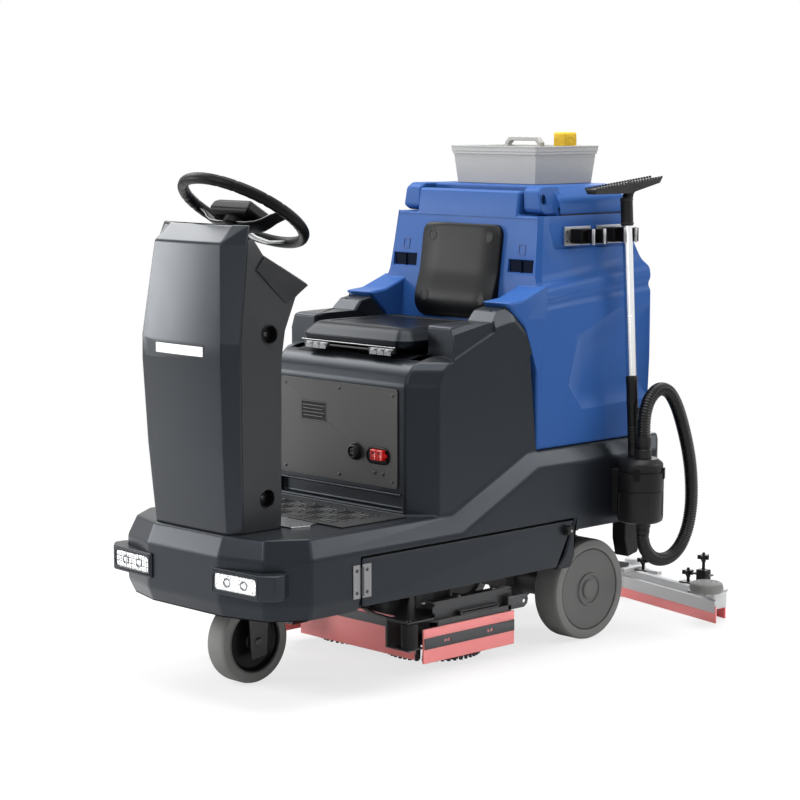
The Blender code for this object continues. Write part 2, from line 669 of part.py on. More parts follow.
def make_steering():
    axis = Vector((0, math.sin(WHEEL_TILT), math.cos(WHEEL_TILT)))
    place = at(*WHEEL_CENTRE, axis)
    bpy.ops.mesh.primitive_torus_add(major_radius=WHEEL_OUTER - WHEEL_GRIP, minor_radius=WHEEL_GRIP,
                                     major_segments=32, minor_segments=8)
    rim = bpy.context.object
    rim.name = "steering_wheel"
    for old in list(rim.users_collection):
        old.objects.unlink(rim)
    MODEL.objects.link(rim)
    rim.data.materials.append(BLACK_PLASTIC)
    hub = disc("hub", 0.034, HUB_LOW, HUB_HIGH, Matrix.Identity(4), BLACK_PLASTIC)
    reach = WHEEL_OUTER - 2 * WHEEL_GRIP + 0.006
    side_spoke = ((0.010, 0.024, HUB_LOW + 0.002), (0.076, 0.021, HUB_LOW + 0.004), (0.110, 0.017, -0.026),
                  (reach, 0.014, -0.006))
    rear_spoke = ((0.010, 0.016, HUB_LOW + 0.004), (0.060, 0.014, HUB_LOW + 0.006), (reach, 0.012, -0.008))
    spokes = []
    for turn, stations in ((0, side_spoke), (180, side_spoke), (90, rear_spoke)):
        spoke = loft("spoke", [
            [(r, -w, z), (r, w, z), (r, w, z + 0.009), (r, -w, z + 0.009)]
            for r, w, z in stations], BLACK_PLASTIC)
        spoke.data.transform(Matrix.Rotation(math.radians(turn), 4, "Z"))
        spokes.append(spoke)
    rim = join(rim, hub, *spokes)
    shaft_top = HUB_HIGH - 0.006
    socket = disc("socket", SHAFT_RADIUS + GAP, HUB_LOW - 0.02, shaft_top, Matrix.Identity(4), BLACK_PLASTIC)
    rim = cut(rim, socket)
    pad = box("wheel_pad", (-0.069, -0.044, HUB_HIGH + GAP), (0.069, 0.044, 0.010), BLACK_PLASTIC, bevel=0.006)
    shaft_low = -0.150
    shaft = disc("steering_shaft", SHAFT_RADIUS, shaft_low, shaft_top - GAP, Matrix.Identity(4), STEEL,
                 SMALL_STEPS)
    joint = disc("joint", SHAFT_RADIUS + 0.008, shaft_low - 0.030, shaft_low + 0.002, Matrix.Identity(4),
                 STEEL, SMALL_STEPS)
    shaft = join(shaft, joint)
    for made in (rim, pad, shaft):
        made.data.transform(place)
        set_pivot(made, WHEEL_CENTRE)


def make_front_wheel():
    """Fork on a vertical pin, with the tyre on its axle."""
    half = FRONT_WIDTH / 2
    centre = at(0, FRONT_AXLE_Y, FRONT_RADIUS, (1, 0, 0))
    rim_r = FRONT_RADIUS - 0.027
    bore = HUB_BORE + AXLE_PLAY
    wheel = turned("front_wheel", [
        (bore, half - 0.004), (0.022, half - 0.004), (0.026, half - 0.018), (rim_r - 0.004, half - 0.012),
        (rim_r, half), (FRONT_RADIUS - 0.004, half), (FRONT_RADIUS, half - 0.006),
        (FRONT_RADIUS, -half + 0.006), (FRONT_RADIUS - 0.004, -half), (rim_r, -half),
        (rim_r - 0.004, -half + 0.012), (0.026, -half + 0.018), (0.022, -half + 0.004),
        (bore, -half + 0.004)], centre, TYRE, closed=True, steps=32)
    set_pivot(wheel, (0, FRONT_AXLE_Y, FRONT_RADIUS))

    leg = half + 0.006
    crown = FRONT_RADIUS * 2 + 0.012
    rail_low = DECK_TOP - DECK_FLOOR - RAIL_HEIGHT
    fork = box("front_fork", (-leg - 0.005, FRONT_AXLE_Y - 0.036, crown), (leg + 0.005, FRONT_AXLE_Y + 0.036,
                                                                       crown + 0.008), STEEL)
    parts = [disc("pin", SHAFT_RADIUS + 0.006, crown + 0.004, DECK_TOP - DECK_FLOOR - 0.004,
                  at(0, FRONT_AXLE_Y, 0), STEEL, SMALL_STEPS),
             disc("collar", SHAFT_RADIUS + 0.022, crown + 0.004, rail_low - 0.0015 + 0.004,
                  at(0, FRONT_AXLE_Y, 0), STEEL, SMALL_STEPS)]
    for side in (1, -1):
        x0, x1 = sorted((side * leg, side * (leg + 0.005)))
        outline = [(FRONT_AXLE_Y - 0.020, FRONT_RADIUS - 0.040), (FRONT_AXLE_Y + 0.024, FRONT_RADIUS - 0.034),
                   (FRONT_AXLE_Y + 0.034, crown + 0.004), (FRONT_AXLE_Y - 0.032, crown + 0.004)]
        parts.append(prism("leg", outline, "X", x0, x1, STEEL))
    parts.append(disc("axle", HUB_BORE, -leg - 0.010, leg + 0.010, centre, STEEL, SMALL_STEPS))
    fork = join(fork, *parts)
    set_pivot(fork, (0, FRONT_AXLE_Y, crown))


# ---- rear wheels and drive ----------------------------------------------------
def make_rear_wheels():
    inner = REAR_FACE_X - REAR_WIDTH
    middle = (REAR_FACE_X + inner) / 2
    half = REAR_WIDTH / 2
    rim = REAR_RADIUS - 0.026
    profile = [(0, half + 0.002), (0.018, half + 0.002), (0.022, half - 0.006), (rim - 0.002, half - 0.006),
               (rim, half), (REAR_RADIUS - 0.006, half), (REAR_RADIUS, half - 0.010),
               (REAR_RADIUS, -half + 0.010), (REAR_RADIUS - 0.006, -half), (rim, -half),
               (rim - 0.002, -half + 0.012), (0.034, -half + 0.012), (0.034, -half - 0.004),
               (SHAFT_RADIUS, -half - 0.004), (SHAFT_RADIUS, -half - 0.040), (0, -half - 0.040)]
    centre = (middle, REAR_AXLE_Y, REAR_RADIUS)
    left = turned("rear_wheel_left", profile, at(*centre, (1, 0, 0)), TYRE, steps=32)
    right = mirrored(left, "rear_wheel_right")
    set_pivot(left, centre)
    set_pivot(right, (-middle, REAR_AXLE_Y, REAR_RADIUS))

    reach = inner - 0.012
    place = at(0, REAR_AXLE_Y, REAR_RADIUS, (1, 0, 0))
    casing = turned("transaxle", [(0, reach), (0.040, reach), (0.040, 0.045), (0.060, 0.035),
                                  (0.060, -0.035), (0.040, -0.045), (0.040, -reach), (0, -reach)],
                    place, STEEL, steps=20)
    motor = disc("motor", 0.042, -0.160, 0.010, at(0, REAR_AXLE_Y, REAR_RADIUS + 0.020, (0, -1, 0.0)),
                 STEEL, 20)
    foot_low, foot_high = REAR_RADIUS + 0.030, DECK_TOP - DECK_FLOOR - RAIL_HEIGHT - 2 * GAP
    feet = [box("foot", (s * RAIL_X - 0.012, REAR_AXLE_Y - 0.030, foot_low),
                (s * RAIL_X + 0.012, REAR_AXLE_Y + 0.030, foot_high), STEEL) for s in (1, -1)]
    casing = join(casing, motor, *feet)
    for side in (1, -1):
        bore = disc("bore", SHAFT_RADIUS + AXLE_PLAY, reach - 0.060, reach + 0.02,
                    at(0, REAR_AXLE_Y, REAR_RADIUS, (side, 0, 0)), STEEL, SMALL_STEPS)
        casing = cut(casing, bore)


# ---- seat housing fittings ----------------------------------------------------
def make_housing_fittings():
    wall_y = HOUSING_FRONT_Y - GAP
    box("access_panel", (-0.205, wall_y - 0.003, 0.445), (0.205, wall_y, HOUSING_TOP - 0.085), PANEL_GREY)
    face = wall_y - 0.003 - GAP
    cap_place = (0.064, face, 0.521)
    cap = turned("charger_cap", [(0, 0.014), (0.016, 0.014), (0.0175, 0.010), (0.0175, 0), (0, 0)],
                 at(*cap_place, (0, -1, 0)), BLACK_PLASTIC, 16)
    set_pivot(cap, cap_place)
    box("battery_connector", (0.126, face - 0.012, 0.508), (0.166, face, 0.534), BLADE_RED)
    gap = 0.004
    box("battery_pack", (-WELL["half"] + gap, WELL["front"] + gap, WELL["floor"] + GAP),
        (WELL["half"] - gap, WELL["back"] - gap, HOUSING_TOP - 0.055), BLACK_PLASTIC, bevel=0.004)


def make_seat():
    """Seat pan that tips forwards on its front hinge, and the fixed back pad."""
    y0, z0 = SEAT_PIVOT[0] + 0.0055, HOUSING_TOP + GAP
    back = TANK_FRONT - 0.035
    half = SEAT_HALF
    rings = []
    for x, y_in, low, high in ((-half, 0.020, 0.004, 0.028), (-half + 0.030, 0.0, 0.0, 0.050),
                               (half - 0.030, 0.0, 0.0, 0.050), (half, 0.020, 0.004, 0.028)):
        front = y0 + y_in
        rings.append([(x, front, z0 + low), (x, back, z0 + low), (x, back, z0 + high),
                      (x, front + 0.040, z0 + high), (x, front, z0 + high * 0.45)])
    seat = loft("seat", rings, BLACK_PLASTIC)
    set_pivot(seat, (0, *SEAT_PIVOT))

    pin = 0.006
    bar = disc("seat_hinge", pin, -0.140, 0.140, at(0, *SEAT_PIVOT, (1, 0, 0)), STEEL, ROUND_STEPS)
    leaf = box("leaf", (-0.135, SEAT_PIVOT[0] - 0.002, HOUSING_TOP - 0.0235),
               (0.135, SEAT_PIVOT[0] + 0.002, SEAT_PIVOT[1]), STEEL)
    join(bar, leaf)


def make_backrest():
    """Curved pad on the sloping front of the tank."""
    slope = tank_front_slope()
    half, thick = 0.136, 0.011
    rings = []
    for z, proud, width in ((0.812, -0.002, half - 0.012), (0.828, 0.004, half), (0.858, 0.010, half),
                            (0.885, 0.005, half), (0.930, 0.0, half), (1.030, 0.0, half),
                            (1.044, 0.0, half - 0.014)):
        y = slope(z) - GAP
        rings.append([(-width, y, z), (width, y, z), (width - 0.004, y - thick - proud, z),
                      (-width + 0.004, y - thick - proud, z)])
    loft("backrest", rings, BLACK_PLASTIC)


# ---- recovery tank ------------------------------------------------------------
def tank_front_slope():
    """Y of the tank's front wall at a height."""
    def y_at(z):
        low_z, low_y, high_z, high_y = HOUSING_TOP - 0.005, TANK_FRONT, LID_TOP - 0.012, TANK_FRONT + 0.050
        share = min(max((z - low_z) / (high_z - low_z), 0.0), 1.0)
        return low_y + (high_y - low_y) * share
    return y_at


def tank_half(z, side, rear, grow=0.0):
    front = tank_front_slope()(z) + grow
    return [(side - 0.010 - grow, front), (side - grow, front + 0.012),
            (side - grow, rear - 0.045 - grow), (side - 0.050 - grow, rear - grow)]


TANK_LEVELS = (
    # z, half width, Y of the rear
    (TANK_FLOOR + GAP, 0.285, 0.535),
    (0.700, 0.285, 0.545),
    (TANK_SHOULDER_Z, 0.281, 0.548),
    (TANK_SHOULDER_Z + 0.045, 0.262, 0.535),
    (TANK_TOP, 0.252, 0.500),
)


def make_tank():
    tank = loft("recovery_tank", [level(tank_half(z, side, rear), z) for z, side, rear in TANK_LEVELS],
                BLUE_PLASTIC)
    slope = tank_front_slope()
    centre = 0.174
    z_top = LID_TOP - 0.012
    lip_back = LID_PIVOT[0] - 0.010
    front, seat_line = TANK_FRONT, HOUSING_TOP
    flank = [(front - 0.075, seat_line + 0.0905), (front - 0.0105, seat_line + 0.0365),
             (front + 0.018, seat_line + 0.0365), (front + 0.027, seat_line + 0.137),
             (front - 0.035, seat_line + 0.119)]
    wings = [prism("wing", flank, "X", *sorted((side * 0.205, side * 0.279)), BLUE_PLASTIC)
             for side in (1, -1)]
    lip = loft("lip", [[(-centre, slope(z), z), (centre, slope(z), z), (centre, lip_back, z),
                        (-centre, lip_back, z)] for z in (TANK_TOP - 0.02, z_top)], BLUE_PLASTIC)
    tank = join(tank, lip, *wings)
    inside = loft("inside", [level(tank_half(z, side, rear, TANK_WALL), z) for z, side, rear in (
        (TANK_FLOOR + 0.060, 0.270, 0.525), (TANK_SHOULDER_Z, 0.265, 0.535),
        (TANK_SHOULDER_Z + 0.045, 0.250, 0.520), (TANK_TOP - 0.020, 0.242, 0.486))], BLUE_PLASTIC)
    mouth = box("mouth", (-0.200, LID_PIVOT[0] + 0.060, TANK_TOP - 0.05), (0.200, 0.440, TANK_TOP + 0.02),
                BLUE_PLASTIC)
    tank = cut(tank, inside, mouth)
    for side in (1, -1):
        tank = cut(tank, box("grip", (side * 0.160, 0.05, 0.930), (side * 0.243, slope(0.945) + 0.006, 0.962),
                             BLUE_PLASTIC))
    return tank


def make_lid():
    """Lid with two ears that reach forward beside the tank's raised lip."""
    low = TANK_TOP + GAP
    front = LID_PIVOT[0] + 0.030
    rear, side = 0.498, 0.250
    half_low = [(side, front), (side, rear - 0.045), (side - 0.045, rear)]
    half_mid = [(side - 0.004, front), (side - 0.004, rear - 0.048), (side - 0.048, rear - 0.004)]
    half_top = [(side - 0.040, front), (side - 0.040, rear - 0.075), (side - 0.075, rear - 0.040)]
    lid = loft("tank_lid", [level(h, z) for h, z in (
        (half_low, low), (half_low, low + 0.018), (half_mid, low + 0.040), (half_top, LID_TOP))],
        BLUE_PLASTIC)
    ears = []
    for s in (1, -1):
        x0, x1 = s * 0.178, s * 0.238
        rings = []
        for y, z_low, z_high in ((LID_PIVOT[0] - 0.028, low + 0.012, LID_TOP - 0.010),
                                 (LID_PIVOT[0] - 0.012, low + 0.002, LID_TOP),
                                 (front + 0.02, low + 0.002, LID_TOP)):
            rings.append([(x0, y, z_low), (x1, y, z_low), (x1 - s * 0.010, y, z_high), (x0, y, z_high)])
        ears.append(loft("ear", rings, BLUE_PLASTIC))
    lid = join(lid, *ears)
    set_pivot(lid, (0, *LID_PIVOT))


TRAY = dict(half=0.147, front=0.222, back=0.455, height=0.094, wall=0.0035, taper=0.012)


def make_tray():
    """Tool caddy with a middle handle, standing on the lid."""
    low, high = LID_TOP + GAP, LID_TOP + GAP + TRAY["height"]
    half, front, back, taper, wall = (TRAY[k] for k in ("half", "front", "back", "taper", "wall"))

    def ring(grow, z):
        return [(-half + grow, front + grow, z), (half - grow, front + grow, z),
                (half - grow, back - grow, z), (-half + grow, back - grow, z)]

    tray = loft("tool_tray", [ring(taper, low), ring(0.004, high - 0.016), ring(0.0, high - 0.014),
                              ring(0.0, high)], GREY_PLASTIC)
    tray = cut(tray, loft("inside", [ring(taper + wall, low + wall), ring(0.004 + wall, high + 0.01)],
                          GREY_PLASTIC))
    middle = (front + back) / 2
    grip = 0.062
    divider = box("divider", (-half + taper, middle - 0.003, low + 0.001),
                  (half - taper, middle + 0.003, high - 0.010), GREY_PLASTIC)
    hoop = prism("hoop", [(-grip, high - 0.030), (-grip, high + 0.008), (-grip + 0.014, high + 0.022),
                          (grip - 0.014, high + 0.022), (grip, high + 0.008), (grip, high - 0.030),
                          (grip - 0.012, high - 0.030), (grip - 0.012, high + 0.004),
                          (grip - 0.020, high + 0.012), (-grip + 0.020, high + 0.012),
                          (-grip + 0.012, high + 0.004), (-grip + 0.012, high - 0.030)],
                 "Y", middle - 0.008, middle + 0.008, GREY_PLASTIC)
    tray = join(tray, divider, hoop)
    set_pivot(tray, (0, middle, low))
    box("sponge", (0.070, middle + 0.030, low + wall + GAP), (0.112, middle + 0.076, high + 0.034), YELLOW)


# ---- vacuum wand --------------------------------------------------------------
def wand_point(z):
    share = (z - CAN_Z1) / (CLIP_Z - CAN_Z1)
    return Vector((WAND_FOOT[0] + (WAND_CLIP[0] - WAND_FOOT[0]) * share,
                   WAND_FOOT[1] + (WAND_CLIP[1] - WAND_FOOT[1]) * share, z))


def wand_frame(z):
    lean = (wand_point(CLIP_Z) - wand_point(CAN_Z1)).normalized()
    return at(*wand_point(z), lean)


def make_wand():
    tube_r = 0.0125
    sleeve_top, sleeve_low, grip_top = 1.110, 1.040, 0.668
    foot = CAN_Z1 + GAP + 0.0006
    disc("wand_tube", tube_r, grip_top - 1.0 + GAP, sleeve_low - 1.0 - GAP, wand_frame(1.0), ALUMINIUM, 16)
    disc("wand_handle", tube_r + 0.002, foot - 0.6, grip_top - 0.6, wand_frame(0.6), BLACK_PLASTIC, 16)
    head = disc("wand_head", tube_r + 0.003, 0.0, sleeve_top - sleeve_low, wand_frame(sleeve_low),
                BLACK_PLASTIC, 16)
    top = wand_point(sleeve_top)
    elbow = tube("elbow", [top - Vector((0, 0, 0.010)), top + Vector((0.002, 0.006, 0.012)),
                           top + Vector((0.006, 0.020, 0.034))], tube_r + 0.001, BLACK_PLASTIC, 2)
    nozzle_y0, nozzle_y1 = top.y - 0.134, top.y + 0.116
    rings = []
    for y, w, h in ((nozzle_y0, 0.020, 0.012), (top.y, 0.024, 0.026), (nozzle_y1, 0.020, 0.014)):
        base = 1.146 + (y - top.y) * 0.10
        rings.append([(top.x - w, y, base), (top.x + w, y, base), (top.x + w * 0.6, y, base - h),
                      (top.x - w * 0.6, y, base - h)])
    nozzle = loft("nozzle", rings, BLACK_PLASTIC)
    join(head, elbow, nozzle)

    for name, y in (("clip_front", WAND_CLIP[1] - 0.118), ("clip_rear", WAND_CLIP[1])):
        make_clip(name, y, tube_r)


def make_clip(name, y, tube_r):
    """Sprung clip on its mounting plate, on the side of the tank."""
    wall = tank_side_at(CLIP_Z - 0.023) + GAP
    centre = wand_point(CLIP_Z).x
    inner = tube_r + 0.0012
    plate = box(name, (wall, y - 0.055, CLIP_Z - 0.023), (wall + 0.003, y + 0.040, CLIP_Z + 0.023),
                BLACK_PLASTIC)
    block = box("block", (wall + 0.001, y - 0.032, CLIP_Z - 0.018), (centre - inner, y + 0.010,
                                                                     CLIP_Z + 0.018), BLACK_PLASTIC)
    jaws = [box("jaw", (centre - inner - 0.004, y + s * (inner + 0.0025) - 0.0025, CLIP_Z - 0.018),
                (centre + 0.010, y + s * (inner + 0.0025) + 0.0025, CLIP_Z + 0.018), BLACK_PLASTIC)
            for s in (1, -1)]
    web = box("web", (centre - inner - 0.004, y - inner - 0.003, CLIP_Z - 0.018),
              (centre - inner, y + inner + 0.003, CLIP_Z + 0.018), BLACK_PLASTIC)
    join(plate, block, web, *jaws)


def tank_side_at(z):
    (z0, x0, _), (z1, x1, _) = TANK_LEVELS[3], TANK_LEVELS[4]
    return x0 + (x1 - x0) * (z - z0) / (z1 - z0)


def make_canister():
    place = at(CAN_X, CAN_Y, 0)
    can = turned("vacuum_canister", [
        (0, CAN_Z1), (CAN_RADIUS - 0.014, CAN_Z1), (CAN_RADIUS - 0.002, CAN_Z1 - 0.012),
        (CAN_RADIUS - 0.002, CAN_Z1 - 0.034), (CAN_RADIUS, CAN_Z1 - 0.035), (CAN_RADIUS, CAN_Z0 + 0.006),
        (CAN_RADIUS - 0.006, CAN_Z0), (0, CAN_Z0)], place, BLACK_PLASTIC)
    cuff = HOSE_DIAMETER / 2 + 0.001
    top = disc("cuff", cuff, CAN_Z1 - 0.01, CAN_Z1 + CUFF_TOP, at(*PORT, 0), BLACK_PLASTIC, 16)
    low = disc("spout", cuff, CAN_Z0 - CUFF_LOW, CAN_Z0 + 0.01, at(*PORT, 0), BLACK_PLASTIC, 16)
    bracket = box("bracket", (BODY_HALF_WIDTH + GAP, CAN_Y - 0.034, CAN_Z0 + 0.020),
                  (CAN_X - CAN_RADIUS + 0.012, CAN_Y + 0.034, CAN_Z1 - 0.030), BLACK_PLASTIC)
    join(can, top, low, bracket)


HOSE_ROUTE = (
    (0.383, 0.367, 0.5203), (0.383, 0.367, 0.5450), (0.383, 0.372, 0.5810), (0.382, 0.391, 0.6150),
    (0.382, 0.425, 0.6340), (0.382, 0.463, 0.6240), (0.382, 0.496, 0.5840), (0.382, 0.526, 0.5180),
    (0.382, 0.548, 0.4480), (0.381, 0.559, 0.3850), (0.381, 0.559, 0.3250), (0.381, 0.546, 0.2700),
    (0.381, 0.519, 0.2280), (0.381, 0.482, 0.2050), (0.381, 0.443, 0.2010), (0.382, 0.407, 0.2120),
    (0.383, 0.379, 0.2360), (0.383, 0.367, 0.2640), (0.383, 0.367, 0.2797),
)


def smooth_route(points, pieces):
    """Straight leads at both ends, and a Catmull-Rom curve through the rest."""
    path = [Vector(p) for p in points]
    out = [path[0]]
    for a, b, c, d in zip(path, path[1:], path[2:], path[3:]):
        for i in range(pieces):
            t = i / pieces
            out.append(0.5 * ((2 * b) + (c - a) * t + (2 * a - 5 * b + 4 * c - d) * t ** 2
                              + (3 * b - a - 3 * c + d) * t ** 3))
    return out + path[-2:]


def make_hose():
    tube("vacuum_hose", smooth_route(HOSE_ROUTE, 2), HOSE_DIAMETER / 2, BLACK_PLASTIC, 3)


# ---- brush deck ---------------------------------------------------------------
def make_brush_deck():
    top = PLATE_Z + PLATE_THICK
    plate = prism("brush_deck", [(-SKIRT_X + 0.008, DECK_Y1), (-SKIRT_X + 0.008, DECK_Y0 + 0.040),
                                 (-SKIRT_X + 0.055, DECK_Y0 + 0.006), (SKIRT_X - 0.055, DECK_Y0 + 0.006),
                                 (SKIRT_X - 0.008, DECK_Y0 + 0.040), (SKIRT_X - 0.008, DECK_Y1)],
                  "Z", PLATE_Z, top, STEEL)
    parts = []
    for s in (1, -1):
        parts.append(disc("motor", 0.046, top - 0.001, top + 0.090, at(s * BRUSH_X, BRUSH_Y, 0), STEEL, 20))
        parts.append(disc("spindle", 0.009, PLATE_Z - 0.046, top, at(s * BRUSH_X, BRUSH_Y, 0), STEEL,
                          SMALL_STEPS))
        x0, x1 = s * (SKIRT_X - 0.030), s * (SKIRT_X - 0.026)
        parts.append(box("flange", (x0, DECK_Y0 + 0.050, top - 0.001), (x1, DECK_Y1, top + 0.040), STEEL))
        x0, x1 = s * (SKIRT_X - 0.010), s * (SKIRT_X - 0.006)
        parts.append(box("side", (x0, DECK_Y0 + 0.042, PLATE_Z - 0.045), (x1, DECK_Y1, top), STEEL))
        x0, x1 = s * (SKIRT_X - 0.080), s * (SKIRT_X - 0.007)
        for z, y in ((0.062, DECK_Y0 - 0.004), (top + 0.004, DECK_Y0 + 0.030)):
            parts.append(box("roller_arm", (x0, DECK_Y0 - 0.058, z), (x1, y, z + 0.004), STEEL))
        x0, x1 = s * (SKIRT_X - 0.084), s * (SKIRT_X - 0.078)
        parts.append(box("cheek", (x0, DECK_Y0 - 0.058, 0.062), (x1, DECK_Y0 - 0.004, top + 0.008), STEEL))
        parts.append(box("spacer", (s * (SKIRT_X - 0.080), DECK_Y0 + 0.012, top - 0.001),
                         (s * (SKIRT_X - 0.060), DECK_Y0 + 0.028, top + 0.005), STEEL))
    parts.append(box("mast", (-MAST_HALF, BRUSH_Y - 0.018, top - 0.001), (MAST_HALF, BRUSH_Y + 0.018, 0.250),
                     STEEL))
    plate = join(plate, *parts)
    set_pivot(plate, (0, BRUSH_Y, PLATE_Z))

    bore = 0.009 + AXLE_PLAY
    profile = [(bore, 0.072), (0.050, 0.072), (BRUSH_RADIUS - 0.012, 0.066), (BRUSH_RADIUS - 0.006, 0.052),
               (BRUSH_RADIUS, BRUSH_TIP_Z), (BRUSH_RADIUS - 0.045, BRUSH_TIP_Z),
               (BRUSH_RADIUS - 0.055, 0.050), (bore, 0.054)]
    for name, s in (("brush_left", 1), ("brush_right", -1)):
        brush = turned(name, profile, at(s * BRUSH_X, BRUSH_Y, 0), RUBBER, closed=True)
        set_pivot(brush, (s * BRUSH_X, BRUSH_Y, BRUSH_TIP_Z))

    side = box("side_skirt_left", (SKIRT_X - 0.006 + GAP, DECK_Y0 - 0.012, SKIRT_LOW),
               (SKIRT_X, DECK_Y1 + 0.004, PLATE_Z - 0.008), BLADE_RED)
    mirrored(side, "side_skirt_right")
    reach = SKIRT_X - 0.048
    box("front_skirt", (-reach, DECK_Y0 + 0.001, SKIRT_LOW), (reach, DECK_Y0 + 0.006 - GAP, top), BLADE_RED)
    for name, s in (("deck_roller_left", 1), ("deck_roller_right", -1)):
        spot = (s * (SKIRT_X - 0.020), DECK_Y0 - 0.040, 0)
        low, high = 0.066 + GAP, top + 0.004 - GAP
        roller = turned(name, [(0, high), (0.018, high), (0.0205, high - 0.005), (0.0205, low + 0.005),
                               (0.018, low), (0, low)], at(*spot), RUBBER, 16)
        set_pivot(roller, (spot[0], spot[1], low))


# ---- squeegee -----------------------------------------------------------------
def bar_y(x):
    """The squeegee is swept forwards at both ends."""
    return BAR_CENTRE_Y - math.tan(BAR_SWEEP) * abs(x)


def swept(name, half, front, back, low, high, finish):
    """A strip that follows the sweep, between two offsets from its line."""
    stations = (-half, 0.0, half)
    rings = [[(x, bar_y(x) + front, low), (x, bar_y(x) + back, low),
              (x, bar_y(x) + back, high), (x, bar_y(x) + front, high)] for x in stations]
    return loft(name, rings, finish)


def make_squeegee():
    bar = swept("squeegee_bar", BAR_HALF, 0.0, BAR_DEPTH, BAR_Z0, BAR_Z1, GREY_PLASTIC)
    swivel = at(0, SWIVEL_Y, 0)
    pod = disc("pod", 0.023, BAR_Z1 - 0.004, BAR_Z1 + 0.024, at(0, BAR_CENTRE_Y + 0.031, 0), GREY_PLASTIC, 16)
    tongue = box("tongue", (-0.040, SWIVEL_Y - 0.020, BAR_Z1 - 0.004), (0.040, BAR_CENTRE_Y + 0.040,
                                                                     BAR_Z1 + 0.008), STEEL)
    brackets = []
    roller_x = BAR_HALF + 0.008
    roller_y = bar_y(roller_x) - 0.040
    for s in (1, -1):
        brackets.append(box("roller_arm", (s * (BAR_HALF - 0.045), roller_y - 0.014, BAR_Z1 - 0.002),
                            (s * (BAR_HALF + 0.020), roller_y + 0.075, BAR_Z1 + 0.005), STEEL))
    bar = join(bar, pod, tongue, *brackets)
    bar = cut(bar, disc("bore", 0.008 + AXLE_PLAY, BAR_Z1 - 0.02, BAR_Z1 + 0.04, swivel, STEEL, SMALL_STEPS))
    set_pivot(bar, (0, SWIVEL_Y, BAR_Z1))

    swept("squeegee_blade_front", BAR_HALF + 0.012, -BLADE_THICK - GAP, -GAP, 0.0, BAR_Z0 + 0.012,
          BLADE_RED)
    rear = BAR_DEPTH + GAP
    swept("squeegee_blade_rear", BAR_HALF - 0.008, rear, rear + BLADE_THICK, 0.0, BAR_Z0 + 0.012, BLADE_RED)

    for name, s in (("bump_roller_left", 1), ("bump_roller_right", -1)):
        spot = (s * roller_x, roller_y, 0)
        low = BAR_Z1 + 0.005 + GAP
        roller = turned(name, [(0, low + 0.028), (ROLLER_RADIUS - 0.008, low + 0.028),
                               (ROLLER_RADIUS, low + 0.020), (ROLLER_RADIUS, low + 0.006),
                               (ROLLER_RADIUS - 0.005, low), (0, low)], at(*spot), TYRE)
        set_pivot(roller, (spot[0], spot[1], low))

    y0, z0 = ARM_PIVOT
    tip_low = BAR_Z1 + 0.008 + GAP
    arm = prism("squeegee_arm", [(y0 - 0.014, z0 - 0.010), (y0 + 0.014, z0 - 0.016),
                                 (SWIVEL_Y - 0.040, tip_low), (SWIVEL_Y + 0.020, tip_low),
                                 (SWIVEL_Y + 0.020, tip_low + 0.010), (SWIVEL_Y - 0.034, tip_low + 0.022),
                                 (y0 + 0.014, z0 + 0.016), (y0 - 0.014, z0 + 0.010)],
                "X", -ARM_HALF, ARM_HALF, STEEL)
    bolt = disc("bolt", 0.008, BAR_Z1 - 0.002, tip_low + 0.004, swivel, STEEL, SMALL_STEPS)
    arm = join(arm, bolt)
    set_pivot(arm, (0, *ARM_PIVOT))


def build():
    make_frame()
    make_body()
    make_doors()
    make_floor()
    make_headlamps()
    make_column()
    make_steering()
    make_front_wheel()
    make_rear_wheels()
    make_housing_fittings()
    make_seat()
    make_backrest()
    make_tank()
    make_lid()
    make_tray()
    make_wand()
    make_canister()
    make_hose()
    make_brush_deck()
    make_squeegee()


build()
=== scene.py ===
import json
import math
import random

import bmesh
import bpy
from mathutils.bvhtree import BVHTree
from mathutils import Matrix, Vector

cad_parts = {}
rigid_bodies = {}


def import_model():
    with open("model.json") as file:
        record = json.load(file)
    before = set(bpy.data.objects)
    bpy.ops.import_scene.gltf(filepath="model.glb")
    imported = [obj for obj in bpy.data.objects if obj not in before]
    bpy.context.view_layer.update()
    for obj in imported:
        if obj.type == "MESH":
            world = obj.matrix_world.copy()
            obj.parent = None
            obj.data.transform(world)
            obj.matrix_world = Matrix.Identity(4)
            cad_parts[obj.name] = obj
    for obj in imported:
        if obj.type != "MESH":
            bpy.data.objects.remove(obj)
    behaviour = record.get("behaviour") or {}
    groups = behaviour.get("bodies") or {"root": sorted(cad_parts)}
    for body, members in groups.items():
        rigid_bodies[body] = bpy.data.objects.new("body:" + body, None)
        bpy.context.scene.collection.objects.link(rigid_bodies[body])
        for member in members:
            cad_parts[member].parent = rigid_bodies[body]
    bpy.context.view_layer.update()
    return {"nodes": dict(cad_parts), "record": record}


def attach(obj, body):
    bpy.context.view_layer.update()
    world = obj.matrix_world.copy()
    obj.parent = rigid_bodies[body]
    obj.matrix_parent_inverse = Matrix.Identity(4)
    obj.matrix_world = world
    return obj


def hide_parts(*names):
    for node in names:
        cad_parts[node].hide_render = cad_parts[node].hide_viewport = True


bpy.ops.object.select_all(action="SELECT")
bpy.ops.object.delete()
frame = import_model()
bodyOf = {node: body for body, nodes in frame["record"]["behaviour"]["bodies"].items() for node in nodes}


def linkData(name, data):
    made = bpy.data.objects.new(name, data)
    bpy.context.scene.collection.objects.link(made)
    return made


def meshFrom(name, bm):
    mesh = bpy.data.meshes.new(name)
    bm.to_mesh(mesh)
    bm.free()
    return mesh


